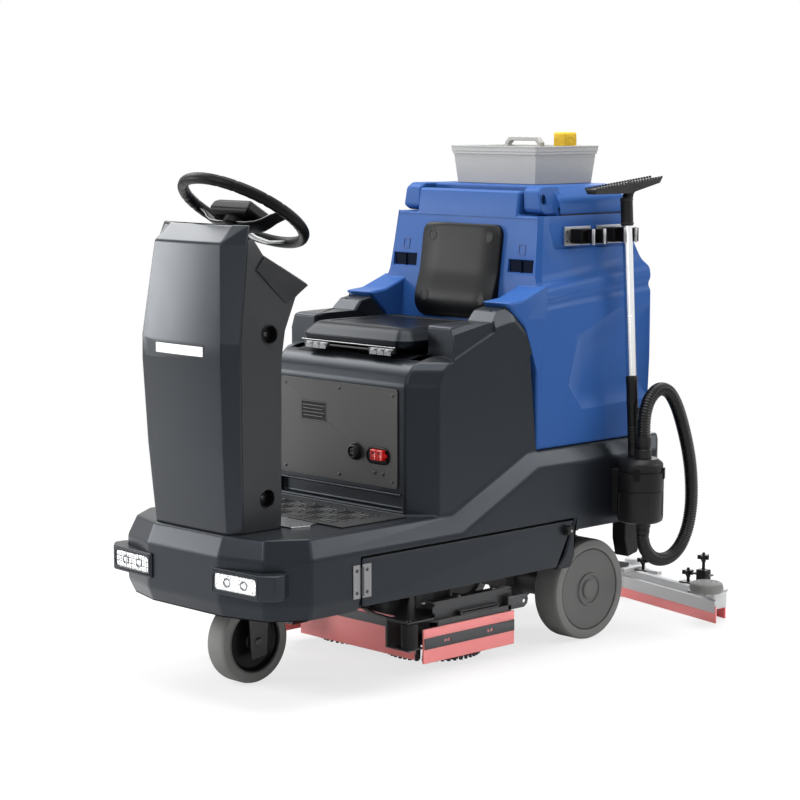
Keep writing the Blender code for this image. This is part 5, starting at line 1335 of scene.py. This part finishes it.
# recovery tank and lid
tankSettings = {
    "top": 1.068, "lipHalf": 0.174, "lipBack": 0.16, "edge": 0.0075, "edgeAngle": 12.0, "wellEdge": 0.0028,
    # height, tilt towards the rear, half width, rear
    "levels": ((0.5053, 0.0, 0.285, 0.535), (0.7, 0.0, 0.2855, 0.545), (0.842, 0.03, 0.285, 0.548),
               (0.85, 0.032, 0.281, 0.545), (0.857, 0.034, 0.2805, 0.545), (0.868, 0.036, 0.285, 0.549),
               (0.89, 0.04, 0.2825, 0.547), (0.906, 0.042, 0.269, 0.534), (0.92, 0.042, 0.2635, 0.528),
               (0.996, 0.0, 0.2572, 0.512), (1.068, 0.0, 0.252, 0.5), (1.128, 0.0, 0.2478, 0.49)),
    "sideOuter": ((0.195, 0.655), (0.23, 0.774), (0.38, 0.834), (0.496, 0.834), (0.496, 0.602),
                  (0.246, 0.594)),
    "sideInner": ((0.23, 0.658), (0.26, 0.74), (0.392, 0.792), (0.472, 0.792), (0.472, 0.64), (0.272, 0.634)),
    "deep": 0.014,
    "mouthBox": ((-0.2, 0.23, 1.018), (0.2, 0.44, 1.088)),
    "bandOutline": ((0.15, 1.048), (0.172, 0.988), (0.43, 0.988), (0.43, 1.048)),
}


def tankRing(z, tilt, half, rear, grow=0.0):
    ring = []
    front = tankFrontAt(z) + grow
    side = [(half - 0.01 - grow, front), (half - grow, front + 0.012), (half - grow, (front + rear) / 2),
            (half - grow, rear - 0.045 - grow), (half - 0.05 - grow, rear - grow)]
    for x, y in side + [(-x, y) for x, y in reversed(side)]:
        ring.append((x, y, z + tilt * (y - 0.09) / 0.4))
    return ring


def wellCut(settings, side):
    # tapered pocket: wide at the surface, smaller at its floor
    def ring(outline, x):
        return [(side * x, y, z) for y, z in outline]
    centre = (sum(y for y, _ in settings["sideOuter"]) / 6, sum(z for _, z in settings["sideOuter"]) / 6)
    wide = [(centre[0] + (y - centre[0]) * 1.06, centre[1] + (z - centre[1]) * 1.06)
            for y, z in settings["sideOuter"]]
    return loftOf("well", [ring(wide, 0.292), ring(settings["sideOuter"], 0.2856),
            ring(settings["sideInner"], 0.2856 - settings["deep"])])


def tankPush(point):
    lift = hump(point.z, 0.5, 0.86) * hump(point.y, 0.06, 0.56)
    side = 0.0035 * lift if abs(point.x) > 0.262 and point.z < 0.86 else 0.0
    return (math.copysign(side, point.x), 0, 0)


def makeTank(settings):
    tank = loftOf("recoveryTank", [tankRing(*row) for row in settings["levels"]])
    flank = ((-0.024, 0.869), (0.04, 0.8075), (0.059, 0.76), (0.08, 0.7), (0.0815, 0.5053), (0.11, 0.5053),
            (0.118, 0.905), (0.036, 0.8745))
    wings = [sheetOf("wing", flank, "X", s * 0.1965, s * 0.285) for s in (1, -1)]
    carve(tank, wings, "UNION")
    inside = loftOf("inside", [tankRing(z, 0, h, r, 0.008) for z, h, r in ((0.565, 0.262, 0.525),
            (0.88, 0.26, 0.535), (0.925, 0.25, 0.52), (1.048, 0.242, 0.486))])
    mouth = block("mouth", *settings["mouthBox"], 0)
    cuts = [inside, mouth]
    low, back, half = settings["top"], settings["lipBack"], settings["lipHalf"]
    cuts.append(block("behind", (-0.4, back, low), (0.4, 0.7, 1.3), 0))
    cuts += [block("beside", (s * half, 0.0, low), (s * 0.4, back + 0.01, 1.3), 0) for s in (1, -1)]
    for s in (1, -1):
        cuts.append(block("grip", (s * 0.16, 0.05, 0.93), (s * 0.243, 0.116, 0.962), 0))
        cuts.append(sheetOf("band", settings["bandOutline"], "X", s * 0.2535, s * 0.27))
    carve(tank, cuts)
    roundOff(tank, settings["edge"], 4, settings["edgeAngle"])
    crown(tank, ((), span(0.06, 0.55, 9), span(0.51, 0.86, 8)), tankPush)
    carve(tank, [wellCut(settings, 1), wellCut(settings, -1)])
    edge = tank.modifiers.new("wellEdge", "BEVEL")
    edge.width, edge.segments = settings["wellEdge"], 3
    edge.limit_method, edge.angle_limit = "ANGLE", math.radians(32)
    applyAll(tank)
    smooth(tank)
    tank.modifiers.new("evenShade", "WEIGHTED_NORMAL").keep_sharp = True
    standFor(tank, "blue", "recovery_tank")
    marks, ribs = [], []
    for s in (1, -1):
        flat = (Matrix.Translation((s * 0.2015, tankFrontAt(0.987), 0.987)) @ Matrix.Rotation(-0.135, 4, "X")
                @ facing(0, 0, 0))
        outer = plateAt("mark", 0.022, 0.026, 0.002, flat, -0.002, 0.0012, 0)
        carve(outer, [plateAt("in", 0.0186, 0.0226, 0.001, flat, -0.01, 0.01, 0)])
        marks.append(outer)
        # a near-black plate on the back wall of each grip pocket is painted shade in the pocket; a thin rib
        # splits the pocket in two
        ribs.append(block("rib", (s * 0.2015 - 0.0405, 0.115, 0.9305),
                (s * 0.2015 + 0.0405, 0.1162, 0.9615), 0))
        ribs.append(block("rib", (s * 0.2015 - 0.0014, 0.1115, 0.9305),
                (s * 0.2015 + 0.0014, 0.1162, 0.9615), 0))
    addAll("tankMarks", marks, "blueDark")
    addAll("gripPocketShade", ribs, "navy")
    pads = [block("pad", (0.248, y - 0.056, 0.994), (0.2576, y + 0.041, 1.042), 0.001, 1)
            for y in (0.26, 0.378)]
    addAll("clipPads", pads, "blue")


def makeGasket():
    outline = [(0.2485, 0.204), (0.2485, 0.452), (0.2035, 0.4965), (-0.2035, 0.4965), (-0.2485, 0.452),
            (-0.2485, 0.204)]
    inner = [(x * 0.97, y * 0.985 + 0.005) for x, y in outline]
    seal = sheetOf("lidSeal", outline, "Z", 1.0675, 1.0712)
    carve(seal, [sheetOf("in", [(x * 0.96, 0.2 + (y - 0.2) * 0.96) for x, y in inner], "Z", 1.0, 1.1)])
    addOn(seal, "rubber")


lidSettings = {"hole": (0.158, 1.108), "wide": 0.0135, "high": 0.026, "round": 0.0066, "play": 0.0001,
        "edge": 0.0075, "edgeAngle": 24.0}


def earHole(settings, play):
    middle = settings["hole"]
    loop = roundedLoop(settings["wide"] - play, settings["high"] - play, settings["round"] - play)
    return [(middle[0] + a, middle[1] + b) for a, b in loop]


def makeLid(settings):
    hole, plug = earHole(settings, 0), earHole(settings, settings["play"])
    lid = nodeCopy("tankLid", "tank_lid")
    carve(lid, [sheetOf("hole", hole, "X", s * 0.2235, s * 0.26) for s in (1, -1)])
    roundOff(lid, settings["edge"], 4, settings["edgeAngle"])
    standFor(lid, "blue", "tank_lid")
    plugs = [sheetOf("plug", plug, "X", s * 0.2225, s * 0.2243) for s in (1, -1)]
    addAll("lidPlugs", plugs, "black", bodyOf["tank_lid"])


# near-black with little sheen: painted shade for the grip pockets
finishes["navy"] = skin("tankNavy", (0.001, 0.0035, 0.014), 0.6, 0.12, 620, 0.1, Specular_IOR_Level=0.05)
makeTank(tankSettings)
makeGasket()
makeLid(lidSettings)
print("tank ready")

traySettings = {"half": 0.147, "front": 0.222, "back": 0.455, "low": 1.1403, "high": 1.2343}


def makeTray(settings):
    piece("tool_tray", "trayGrey", 0.0014, 2)
    middle, depth = (settings["front"] + settings["back"]) / 2, settings["back"] - settings["front"]
    lips = []
    for z0, z1, grow in ((settings["high"] - 0.0035, settings["high"] + 0.0005, 0.0016),
            (settings["high"] - 0.0205, settings["high"] - 0.0145, -0.0012)):
        ring = sheetOf("lip", [(x, y + middle) for x, y in roundedLoop(settings["half"] * 2 + 2 * grow,
                depth + 2 * grow, 0.004)], "Z", z0, z1)
        carve(ring, [sheetOf("in", [(x, y + middle) for x, y in roundedLoop(settings["half"] * 2 - 0.012,
                depth - 0.012, 0.003)], "Z", 1, 1.5)])
        lips.append(roundOff(ring, 0.0008, 2))
    addAll("trayLips", lips, "trayGrey", "tray")
    sponge = nodeCopy("spongeBlock", "sponge")
    bm = bmesh.new()
    bm.from_mesh(sponge.data)
    for k in range(1, 8):
        bmesh.ops.bisect_plane(bm, geom=bm.verts[:] + bm.edges[:] + bm.faces[:], dist=0.00001,
                plane_co=(0, 0, 1.14 + k * 0.017), plane_no=(0, 0, 1))
    rng = random.Random(4)
    for vert in bm.verts:
        vert.co.x += rng.uniform(-0.0007, 0.0007)
        vert.co.y += rng.uniform(-0.0007, 0.0007)
    bm.to_mesh(sponge.data)
    bm.free()
    soften = sponge.modifiers.new("soften", "BEVEL")
    soften.width, soften.segments, soften.angle_limit = 0.005, 3, math.radians(50)
    applyAll(sponge)
    standFor(smooth(sponge, 60), "sponge", "sponge")


makeTray(traySettings)

# wand, clips and canister
canSettings = {
    "x": 0.372, "y": 0.37, "low": 0.306, "high": 0.466, "radius": 0.058,
    "bracketBox": ((0.3053, 0.336, 0.326), (0.326, 0.404, 0.436)),
}


wandLine = ((0.345, 0.375), (0.313, 0.378))
tubeFoot, tubeTop = 0.466, 1.018


def wandPoint(z):
    share = (z - tubeFoot) / (tubeTop - tubeFoot)
    return Vector((*[a + (b - a) * share for a, b in zip(*wandLine)], z))


def wandFrame(z):
    lean = (wandPoint(tubeTop) - wandPoint(tubeFoot)).normalized()
    return placeAt(*wandPoint(z), lean)


clipSettings = {
    "wall": 0.2576, "inner": 0.0137, "places": (("clip_front", 0.26), ("clip_rear", 0.378)),
    "rollerOutline": [(0, 1.037), (0.0034, 1.037), (0.004, 1.036), (0.004, 1.0), (0.0034, 0.999), (0, 0.999)],
}


def makeClips(settings):
    for name, y in settings["places"]:
        wall, centre, inner = settings["wall"], wandPoint(tubeTop).x, settings["inner"]
        words = camelOf(name)
        plate = block(words + "Plate", (wall, y - 0.055, 0.995), (wall + 0.0026, y + 0.04, 1.041), 0.0007, 2)
        addOn(plate, "zinc")
        dots = [screwOf("dot", placeAt(wall + 0.0026, y - 0.047, 1.018 + dz, (1, 0, 0)), 0.0032, 0.0014)
                for dz in (-0.012, 0.012)]
        addAll(words + "Screws", dots, "steelDark")
        base = block("base", (wall + 0.002, y - 0.034, 1.0), (centre - inner - 0.001, y + 0.012,
                1.036), 0.003, 3)
        parts = [base]
        for s in (1, -1):
            # leaf that bends round the tube and flares out at its tip
            reach = inner + 0.0022
            line = [(centre - inner - 0.004, y + s * 0.004), (centre - inner - 0.002,
                    y + s * (reach - 0.003)), (centre - 0.006, y + s * reach),
                    (centre + 0.005, y + s * (reach - 0.0005)), (centre + 0.011, y + s * (reach + 0.0035)),
                    (centre + 0.013, y + s * (reach + 0.008))]
            shifted = [(a + 0.0012, b + s * 0.0024) for a, b in reversed(line)]
            leaf = sheetOf("leaf", line + shifted, "Z", 1.001, 1.035)
            parts.append(roundOff(leaf, 0.0006, 1))
        standFor(gather(words, parts), "gripBlack", name)
        rollers = [latheOf("roller", settings["rollerOutline"], placeAt(centre + 0.0095, y + s * 0.0205, 0),
                20) for s in (1, -1)]
        addAll(words + "Rollers", rollers, "zinc")


def makeWand():
    frameLow, frameHigh = wandFrame(0.6), wandFrame(1.04)
    made = latheOf("wandTube", [(0, 0.0397), (0.0125, 0.0397), (0.0125, -0.18), (0.0121, -0.1805),
            (0.0121, -0.1825), (0.0125, -0.183), (0.0125, -0.3317), (0, -0.3317)], wandFrame(1.0), 40)
    standFor(made, "tubeAluminium", "wand_tube")
    grip = [latheOf("grip", [(0, 0.068), (0.0138, 0.068), (0.0148, 0.066), (0.0148, 0.052), (0.014, 0.05),
            (0.014, 0.01), (0.0146, 0.008), (0.0146, -0.006), (0.014, -0.008), (0.014, -0.11),
            (0.0145, -0.112), (0.0145, -0.1325), (0, -0.1325)], frameLow, 36)]
    for k in range(6):
        grip.append(latheOf("rib", [(0.0138, 0.0015), (0.0149, 0.001), (0.0149, -0.001), (0.0138, -0.0015)],
                frameLow @ Matrix.Translation((0, 0, -0.06 - 0.007 * k)), 36))
    lug = block("lug", (0.01, -0.005, -0.03), (0.0185, 0.005, -0.01), 0.001, 2)
    lug.data.transform(frameLow)
    grip.append(lug)
    standFor(gather("wandHandle", grip), "black", "wand_handle")
    head = nodeCopy("wandHead", "wand_head")
    roundOff(head, 0.0022, 3)
    rings = [latheOf("ring", [(0.015, 0.003), (0.0166, 0.002), (0.0166, -0.002), (0.015, -0.003)],
            frameHigh @ Matrix.Translation((0, 0, 0.006 + 0.058 * k)), 36) for k in (0, 1)]
    top = wandPoint(1.11)
    teeth = []
    for k in range(24):
        y = top.y - 0.13 + 0.2415 * k / 23
        z = 1.146 + (y - top.y) * 0.1
        for s in (1, -1):
            teeth.append(block("tooth", (top.x + s * 0.0185 - 0.0018, y - 0.0032, z - 0.001),
                    (top.x + s * 0.0185 + 0.0018, y + 0.0032, z + 0.0035), 0.0006, 1))
    standFor(gather("wandHead", [head, *rings, *teeth]), "black", "wand_head")


def makeCanister(settings):
    r, low, high = settings["radius"], settings["low"], settings["high"]
    place = placeAt(settings["x"], settings["y"], 0)
    can = latheOf("can", [(0, high), (r - 0.016, high), (r - 0.004, high - 0.01), (r - 0.0022, high - 0.0135),
            (r - 0.002, high - 0.03), (r - 0.003, high - 0.0312), (r - 0.003, high - 0.033),
            (r - 0.0002, high - 0.0345), (r, high - 0.0365), (r, high - 0.078), (r - 0.0012, high - 0.079),
            (r - 0.0012, high - 0.0805), (r, high - 0.0815), (r - 0.0006, low + 0.012),
            (r - 0.003, low + 0.004), (r - 0.01, low), (0, low)], place, 72, 30)
    port = placeAt(0.383, 0.367, 0)
    cuff = 0.0178
    collars = [latheOf("cuff", [(0, high + 0.054), (cuff + 0.0004, high + 0.054),
            (cuff + 0.0012, high + 0.052), (cuff + 0.0012, high + 0.03), (cuff, high + 0.0285),
            (cuff, high + 0.024), (cuff + 0.0022, high + 0.022), (cuff + 0.0022, high - 0.004),
            (0, high - 0.004)], port, 40), latheOf("spout", [(0, low + 0.004), (cuff + 0.002, low + 0.004),
            (cuff + 0.002, low - 0.012), (cuff, low - 0.014), (cuff, low - 0.026),
            (0, low - 0.026)], port, 40)]
    for k in range(8):
        a = math.radians(45 * k + 20)
        rib = block("rib", (-0.0016, -0.0012, low + 0.02), (0.0016, 0.0012, high - 0.086), 0.0006, 1)
        rib.data.transform(Matrix.Translation((settings["x"] + (r - 0.0006) * math.cos(a),
                settings["y"] + (r - 0.0006) * math.sin(a), 0)) @ Matrix.Rotation(a, 4, "Z"))
        collars.append(rib)
    bracket = block("bracket", *settings["bracketBox"], 0.002, 2)
    carve(bracket, [block("slot", (0.29, y0, z0), (0.4, y0 + 0.006, z0 + 0.018), 0) for y0 in (0.34, 0.394)
            for z0 in (0.336, 0.372, 0.408)])
    smooth(bracket)
    standFor(gather("vacuumCanister", [can, *collars, bracket]), "black", "vacuum_canister")
    latch = []
    for a in (-60, 30, 120):
        clip = block("latch", (-0.001, -0.008, high - 0.05), (0.0034, 0.008, high - 0.022), 0.001, 2)
        clip.data.transform(Matrix.Translation((settings["x"] + (r - 0.001) * math.cos(math.radians(a)),
                settings["y"] + (r - 0.001) * math.sin(math.radians(a)), 0))
                @ Matrix.Rotation(math.radians(a), 4, "Z"))
        latch.append(clip)
    addAll("canisterLatches", latch, "gripBlack")


makeClips(clipSettings)
makeWand()
makeCanister(canSettings)
print("wand ready")

# wheels
roadWheelSettings = {"rearX": 0.23, "rearY": 0.3025, "rear": 0.1275, "frontY": -0.599, "front": 0.1}


def makeRearWheels(settings):
    r, half = settings["rear"], 0.038
    for side, word in ((1, "left"), (-1, "right")):
        node = "rear_wheel_" + word
        body = bodyOf[node]
        place = placeAt(side * settings["rearX"], settings["rearY"], r, (side, 0, 0))
        tyre = latheOf("tread", [(0.1035, half - 0.014), (0.1035, half - 0.0018), (0.1048, half - 0.0002),
                (0.106, half), (0.1205, half), (0.124, half - 0.0012), (r - 0.0009, half - 0.006),
                (r, half - 0.011), (r, -half + 0.011), (r - 0.0009, -half + 0.006), (0.124, -half + 0.0012),
                (0.1205, -half), (0.1015, -half), (0.1015, -half + 0.014)], place, 96)
        standFor(tyre, "tyre", node)
        tyre.name = camelOf(node)
        disc = latheOf("disc", [(0, half + 0.0022), (0.0215, half + 0.0022), (0.0245, half + 0.0006),
                (0.0252, half - 0.003), (0.0345, half - 0.003), (0.036, half - 0.0002),
                (0.0402, half + 0.0002), (0.042, half - 0.004), (0.07, half - 0.0036),
                (0.0985, half - 0.0026), (0.1005, half - 0.0034), (0.102, half - 0.006),
                (0.1036, half - 0.0062), (0.1036, -half + 0.013), (0.034, -half + 0.013),
                (0.034, -half - 0.003), (0.0095, -half - 0.003), (0.0095, -half - 0.04), (0, -half - 0.04)],
                place, 72, 22)
        disc.name = camelOf(node) + "Disc"
        addOn(disc, "hub", body)


def makeFrontWheel(settings):
    r, half, body = settings["front"], 0.03, bodyOf["front_wheel"]
    place = placeAt(0, settings["frontY"], r, (1, 0, 0))
    tyre = latheOf("frontWheel", bothFaces([(0.0745, half - 0.004), (0.077, half - 0.0005), (0.08, half),
            (0.0925, half), (0.0965, half - 0.0015), (r - 0.0012, half - 0.0055),
            (r, half - 0.011)]), place, 80)
    standFor(tyre, "tyre", "front_wheel")
    dish = latheOf("frontDish", bothFaces([(0.0102, half - 0.005), (0.02, half - 0.005),
            (0.023, half - 0.007), (0.0255, half - 0.018), (0.064, half - 0.015), (0.069, half - 0.01),
            (0.0715, half - 0.0025), (0.075, half - 0.0015), (0.0755, half - 0.004)]), place, 72, 24)
    addOn(dish, "black", body)
    rim = [latheOf("line", [(0.0742, s * (half - 0.003)), (0.0742, s * (half + 0.0002)),
            (0.0762, s * (half + 0.0002)), (0.0762, s * (half - 0.003))], place, 72) for s in (1, -1)]
    addAll("frontRimLine", rim, "hub", body)
    piece("front_fork", "forkPlate", 0.0016, 2)
    bolts = []
    for side in (1, -1):
        bolts.append(screwOf("b", placeAt(side * 0.0415, settings["frontY"], r, (side, 0, 0)), 0.0115, 0.005))
        bolts.append(screwOf("b", placeAt(side * 0.041, settings["frontY"], 0.17, (side, 0, 0)),
                0.007, 0.003))
    addAll("forkBolts", bolts, "steelDark", bodyOf["front_fork"])


finishes["forkPlate"] = skin("forkPlate", (0.012, 0.0125, 0.0135), 0.36, 0.08, 900, 0.12, 0.02, 0.6,
        Specular_IOR_Level=0.4)
makeRearWheels(roadWheelSettings)
makeFrontWheel(roadWheelSettings)

# brush deck
deckSettings = {
    "x": 0.25, "y0": -0.255, "brushX": 0.121, "brushY": -0.108, "brush": 0.117,
    "frontClampOutline": ((-0.19, 0.094), (0.19, 0.094), (0.19, 0.117), (-0.19, 0.117)),
}


def slotted(name, outline, x, thick, holes):
    x0, x1 = sorted((x, x + thick))
    sheet = sheetOf(name, outline, "X", x0, x1, 0.0009, 2)
    cuts = [sheetOf("slot", [(y + a, z + b) for a, b in roundedLoop(wide, tall,
            min(wide, tall) / 2 - 0.0001)], "X", x0 - 0.01, x1 + 0.01) for y, z, wide, tall in holes]
    carve(sheet, cuts)
    return smooth(sheet)


def makeDeck(settings):
    piece("brush_deck", "steelDark", 0.0012, 2)
    for side, word in ((1, "Left"), (-1, "Right")):
        x, t = side * settings["x"], side * 0.0024
        piece("side_skirt_" + word.lower(), "bladeRed", 0.0008, 2)
        piece("deck_roller_" + word.lower(), "rubber", 0.002, 3)
        strip = slotted("skirtClamp" + word, ((-0.2655, 0.061), (0.0425, 0.061), (0.0425, 0.088),
                (-0.2655, 0.088)), x, t, ((-0.189, 0.0745, 0.022, 0.0085), (-0.042, 0.0745, 0.022, 0.0085)))
        addOn(strip, "clampGrey", "deck")
        bolts = [screwOf("b", placeAt(x + t * 0.3, y, 0.0745, (side, 0, 0)), 0.0038, 0.003)
                for y in (-0.189, -0.042)]
        top = settings["x"] - 0.005
        for y in (-0.235, -0.115, 0.005):
            bolts.append(screwOf("b", placeAt(side * (top - 0.03), y, 0.164, (0, 0, 1)), 0.005, 0.004))
        rail = slotted("deckRail" + word, ((-0.211, 0.1345), (0.062, 0.1345), (0.062, 0.162), (0.05, 0.166),
                (-0.196, 0.1585), (-0.211, 0.15)), side * 0.221, t, ((-0.146, 0.147, 0.009, 0.009),
                (0.01, 0.15, 0.02, 0.007)))
        addOn(rail, "clampGrey", "deck")
        shelf = block("deckShelf" + word, (side * 0.198, -0.209, 0.16),
                (side * 0.2235, 0.06, 0.163), 0.0008, 2)
        addOn(shelf, "clampGrey", "deck")
        cover = block("deckCover" + word, (side * 0.222, -0.133, 0.1255),
                (side * 0.2405, 0.0, 0.134), 0.0022, 3)
        addOn(cover, "clampGrey", "deck")
        lower = slotted("deckPlate" + word, ((-0.133, 0.1135), (0.0, 0.1135), (0.0, 0.1335),
                (-0.133, 0.1335)), side * 0.2405, -t, ())
        addOn(lower, "clampGrey", "deck")
        ear = slotted("deckEar" + word, ((0.03, 0.1115), (0.086, 0.1115), (0.097, 0.119), (0.1, 0.13),
                (0.096, 0.1445), (0.03, 0.1445)), side * 0.244, -t, ((0.0855, 0.127, 0.01, 0.01),))
        addOn(ear, "clampGrey", "deck")
        tie = block("deckTie" + word, (side * 0.205, 0.0285, 0.1115),
                (side * 0.244, 0.0325, 0.1445), 0.0008, 1)
        addOn(tie, "steelDark", "deck")
        roller = side * 0.23
        for z, lift in ((0.1281, 0.0055), (0.062, -0.005)):
            bolts.append(screwOf("b", placeAt(roller, -0.295, z, (0, 0, math.copysign(1, lift))),
                    0.0062, abs(lift)))
        strap = tubeOf("strap", [(side * a, b, 0.1325) for a, b in ((0.236, -0.309), (0.2, -0.3105),
                (0.12, -0.3), (0.06, -0.28), (0.043, -0.25))], 0.004, 10)
        addAll("deckBolts" + word, bolts, "zinc", "deck")
        strap.name = "deckStrap" + word
        addOn(strap, "steelDark", "deck")
        makeBrush(settings, side, word)
    piece("front_skirt", "bladeRed", 0.0008, 2)
    bar = sheetOf("frontClamp", settings["frontClampOutline"], "Y", settings["y0"] - 0.0016,
            settings["y0"] + 0.0008, 0.0008, 2)
    addOn(bar, "clampGrey", "deck")


def makeBrush(settings, side, word):
    x, y, r = side * settings["brushX"], settings["brushY"], settings["brush"]
    node = "brush_" + word.lower()
    back = latheOf("back", [(0.0095, 0.07), (0.05, 0.072), (r - 0.014, 0.0665), (r - 0.01, 0.06),
            (r - 0.01, 0.05), (0.0095, 0.05)], placeAt(x, y, 0), 48)
    rng = random.Random(7 if side > 0 else 11)
    bm = bmesh.new()
    for radius, count in ((r - 0.004, 44), (r - 0.017, 38), (r - 0.031, 32)):
        for k in range(count):
            a = 2 * math.pi * (k + rng.uniform(-0.12, 0.12)) / count
            flare = radius - 0.006
            foot, tip = (flare * math.cos(a), flare * math.sin(a), 0.052), (radius * math.cos(a),
                    radius * math.sin(a), 0.0125)
            ends = []
            for (cx, cy, cz), size in ((foot, 0.0026), (tip, 0.0046 + rng.uniform(-0.0006, 0.0006))):
                turn = [2 * math.pi * m / 6 for m in range(6)]
                ends.append([bm.verts.new((cx + size * math.cos(t), cy + size * math.sin(t), cz))
                        for t in turn])
            for m in range(6):
                n = (m + 1) % 6
                bm.faces.new((ends[0][m], ends[0][n], ends[1][n], ends[1][m]))
            bm.faces.new(ends[0])
            bm.faces.new(list(reversed(ends[1])))
    tufts = linkMesh("tufts", bm)
    tufts.data.transform(Matrix.Translation((x, y, 0)))
    standFor(gather("brush" + word, [back, smooth(tufts, 50)]), "bristle", node)


finishes["clampGrey"] = metal("clampGrey", (0.065, 0.066, 0.069), 0.36, (60.0, 12.0, 160.0), 0.6)
makeDeck(deckSettings)
print("deck ready")

# squeegee
squeegeeSettings = {"centre": 0.754, "sweep": 12.0, "top": 0.082, "knobs": (0.06, 0.249), "tower": 0.308,
        "roller": (0.376, 0.634, 0.044), "podOutline": [(0, 0.106), (0.018, 0.106), (0.022, 0.1035),
        (0.023, 0.1), (0.023, 0.078), (0, 0.078)],}


def barY(x):
    return squeegeeSettings["centre"] - math.tan(math.radians(squeegeeSettings["sweep"])) * abs(x)


def starKnob(name, x, y, low, high):
    # five-lobed hand knob on a threaded stem
    outline = []
    for k in range(60):
        a = 2 * math.pi * k / 60
        radius = 0.0118 + 0.005 * max(-0.35, math.cos(5 * a))
        outline.append((x + radius * math.cos(a), y + radius * math.sin(a)))
    head = sheetOf(name, outline, "Z", high - 0.011, high, 0.0018, 3)
    stem = latheOf("stem", [(0, high - 0.009), (0.0062, high - 0.009), (0.0062, high - 0.017),
            (0.0042, high - 0.019), (0.0042, low), (0, low)], placeAt(x, y, 0), 20)
    tip = latheOf("tip", [(0, high + 0.007), (0.003, high + 0.007), (0.004, high + 0.005),
            (0.004, high - 0.002), (0, high - 0.002)], placeAt(x, y, 0), 20)
    return [head, stem, tip]


def makeSqueegee(settings):
    top = settings["top"]
    body = bodyOf["squeegee_bar"]
    rows = []
    for x in (-0.368, -0.3655, 0.0, 0.3655, 0.368):
        inset = 0.0025 if abs(x) > 0.367 else 0.0
        section = ((0.0, 0.034), (0.0, 0.078), (0.004, 0.082), (0.052, 0.082), (0.056, 0.078), (0.056, 0.034),
                (0.054, 0.032), (0.002, 0.032))
        rows.append([(x, barY(x) + min(max(a, inset), 0.056 - inset),
                min(max(z, 0.032 + inset), 0.082 - inset)) for a, z in section])
    bar = smooth(loftOf("bar", rows), 30)
    pod = latheOf("pod", settings["podOutline"], placeAt(0, settings["centre"] + 0.031, 0), 40)
    tongue = block("tongue", (-0.04, 0.704, 0.0795), (0.04, settings["centre"] + 0.04, 0.09), 0.002, 2)
    standFor(gather("squeegeeBar", [bar, pod, tongue]), "paleGrey", "squeegee_bar")
    for side in (1, -1):
        rx, ry = side * settings["roller"][0], settings["roller"][1]
        arm = block("rollerArm" + ("Left" if side > 0 else "Right"), (rx - side * 0.052, ry - 0.014,
                top - 0.002), (rx + side * 0.012, ry + 0.075, top + 0.005), 0.0015, 2)
        addOn(arm, "zinc", body)
    piece("squeegee_arm", "steelDark", 0.002, 2)
    for name in ("squeegee_blade_front", "squeegee_blade_rear"):
        piece(name, "bladeRed", 0.0007, 2)
    parts, plates, latches = [], [], []
    for side in (1, -1):
        for x in settings["knobs"]:
            parts += starKnob("knob", side * x, barY(x) + 0.016, top - 0.001, top + 0.034)
            plates.append(block("foot", (side * x - 0.022, barY(x) + 0.004, top - 0.001),
                    (side * x + 0.022, barY(x) + 0.03, top + 0.0035), 0.0008, 2))
        x = settings["tower"]
        y = barY(x) + 0.018
        parts.append(block("tower", (side * x - 0.015, y - 0.013, top - 0.001),
                (side * x + 0.015, y + 0.013, 0.128), 0.002, 2))
        parts += starKnob("knob", side * x, y, 0.126, 0.166)
        plates.append(block("lever", (side * x - 0.03, y - 0.01, 0.112),
                (side * x + 0.026, y + 0.01, 0.117), 0.001, 2))
        latches.append(block("latch", (side * 0.108 - 0.018, barY(0.108) + 0.008, top - 0.001),
                (side * 0.108 + 0.018, barY(0.108) + 0.026, top + 0.009), 0.002, 2))
        rx, ry, r = side * settings["roller"][0], settings["roller"][1], settings["roller"][2]
        node = "bump_roller_" + ("left" if side > 0 else "right")
        low = top + 0.0053
        wheel = latheOf(camelOf(node), [(0, 0.028), (0.012, 0.028), (0.0128, 0.0262), (0.0146, 0.0262),
                (0.0154, 0.028), (0.0262, 0.028), (0.027, 0.0266), (0.0282, 0.0266), (0.029, 0.0278),
                (0.036, 0.0272), (0.041, 0.024), (r - 0.0008, 0.0185), (r, 0.013), (r - 0.0008, 0.007),
                (0.04, 0.0015), (0.036, 0), (0, 0)], placeAt(rx, ry, low), 64, 30)
        standFor(wheel, "tyre", node)
    for side in (1, -1):
        rows = [[(side * x, barY(x) + a, z) for a, z in ((-0.005, 0.0265), (-0.002, 0.025), (0.004, 0.025),
                (0.004, 0.06), (-0.002, 0.06), (-0.005, 0.0575))] for x in (0.0, settings["roller"][0])]
        strip = smooth(loftOf("bladeStrip" + ("Left" if side > 0 else "Right"), rows), 30)
        addOn(strip, "paleGrey", body)
    addAll("squeegeeKnobs", parts, "black", body)
    addAll("squeegeePlates", plates, "clampGrey", body)
    addAll("squeegeeLatches", latches, "paleGrey", body)


makeSqueegee(squeegeeSettings)


tailSettings = {"inner": 0.222, "outer": 0.266, "edge": 0.003, "outline": ((0.438, 0.3), (0.438, 0.236),
        (0.45, 0.19), (0.488, 0.198), (0.508, 0.246), (0.515, 0.3))}


def makeTail(settings):
    # tapered carrier behind each rear wheel
    for side, word in ((1, "Left"), (-1, "Right")):
        addOn(sheetOf("tailCarrier" + word, settings["outline"], "X", side * settings["inner"],
                side * settings["outer"], settings["edge"], 3), "black")


makeTail(tailSettings)

for node, finish, width in (("chassis_frame", "steelDark", 0.0015), ("transaxle", "cast", 0.003),
        ("battery_pack", "black", 0.004)):
    piece(node, finish, width)
print("pieces ready")
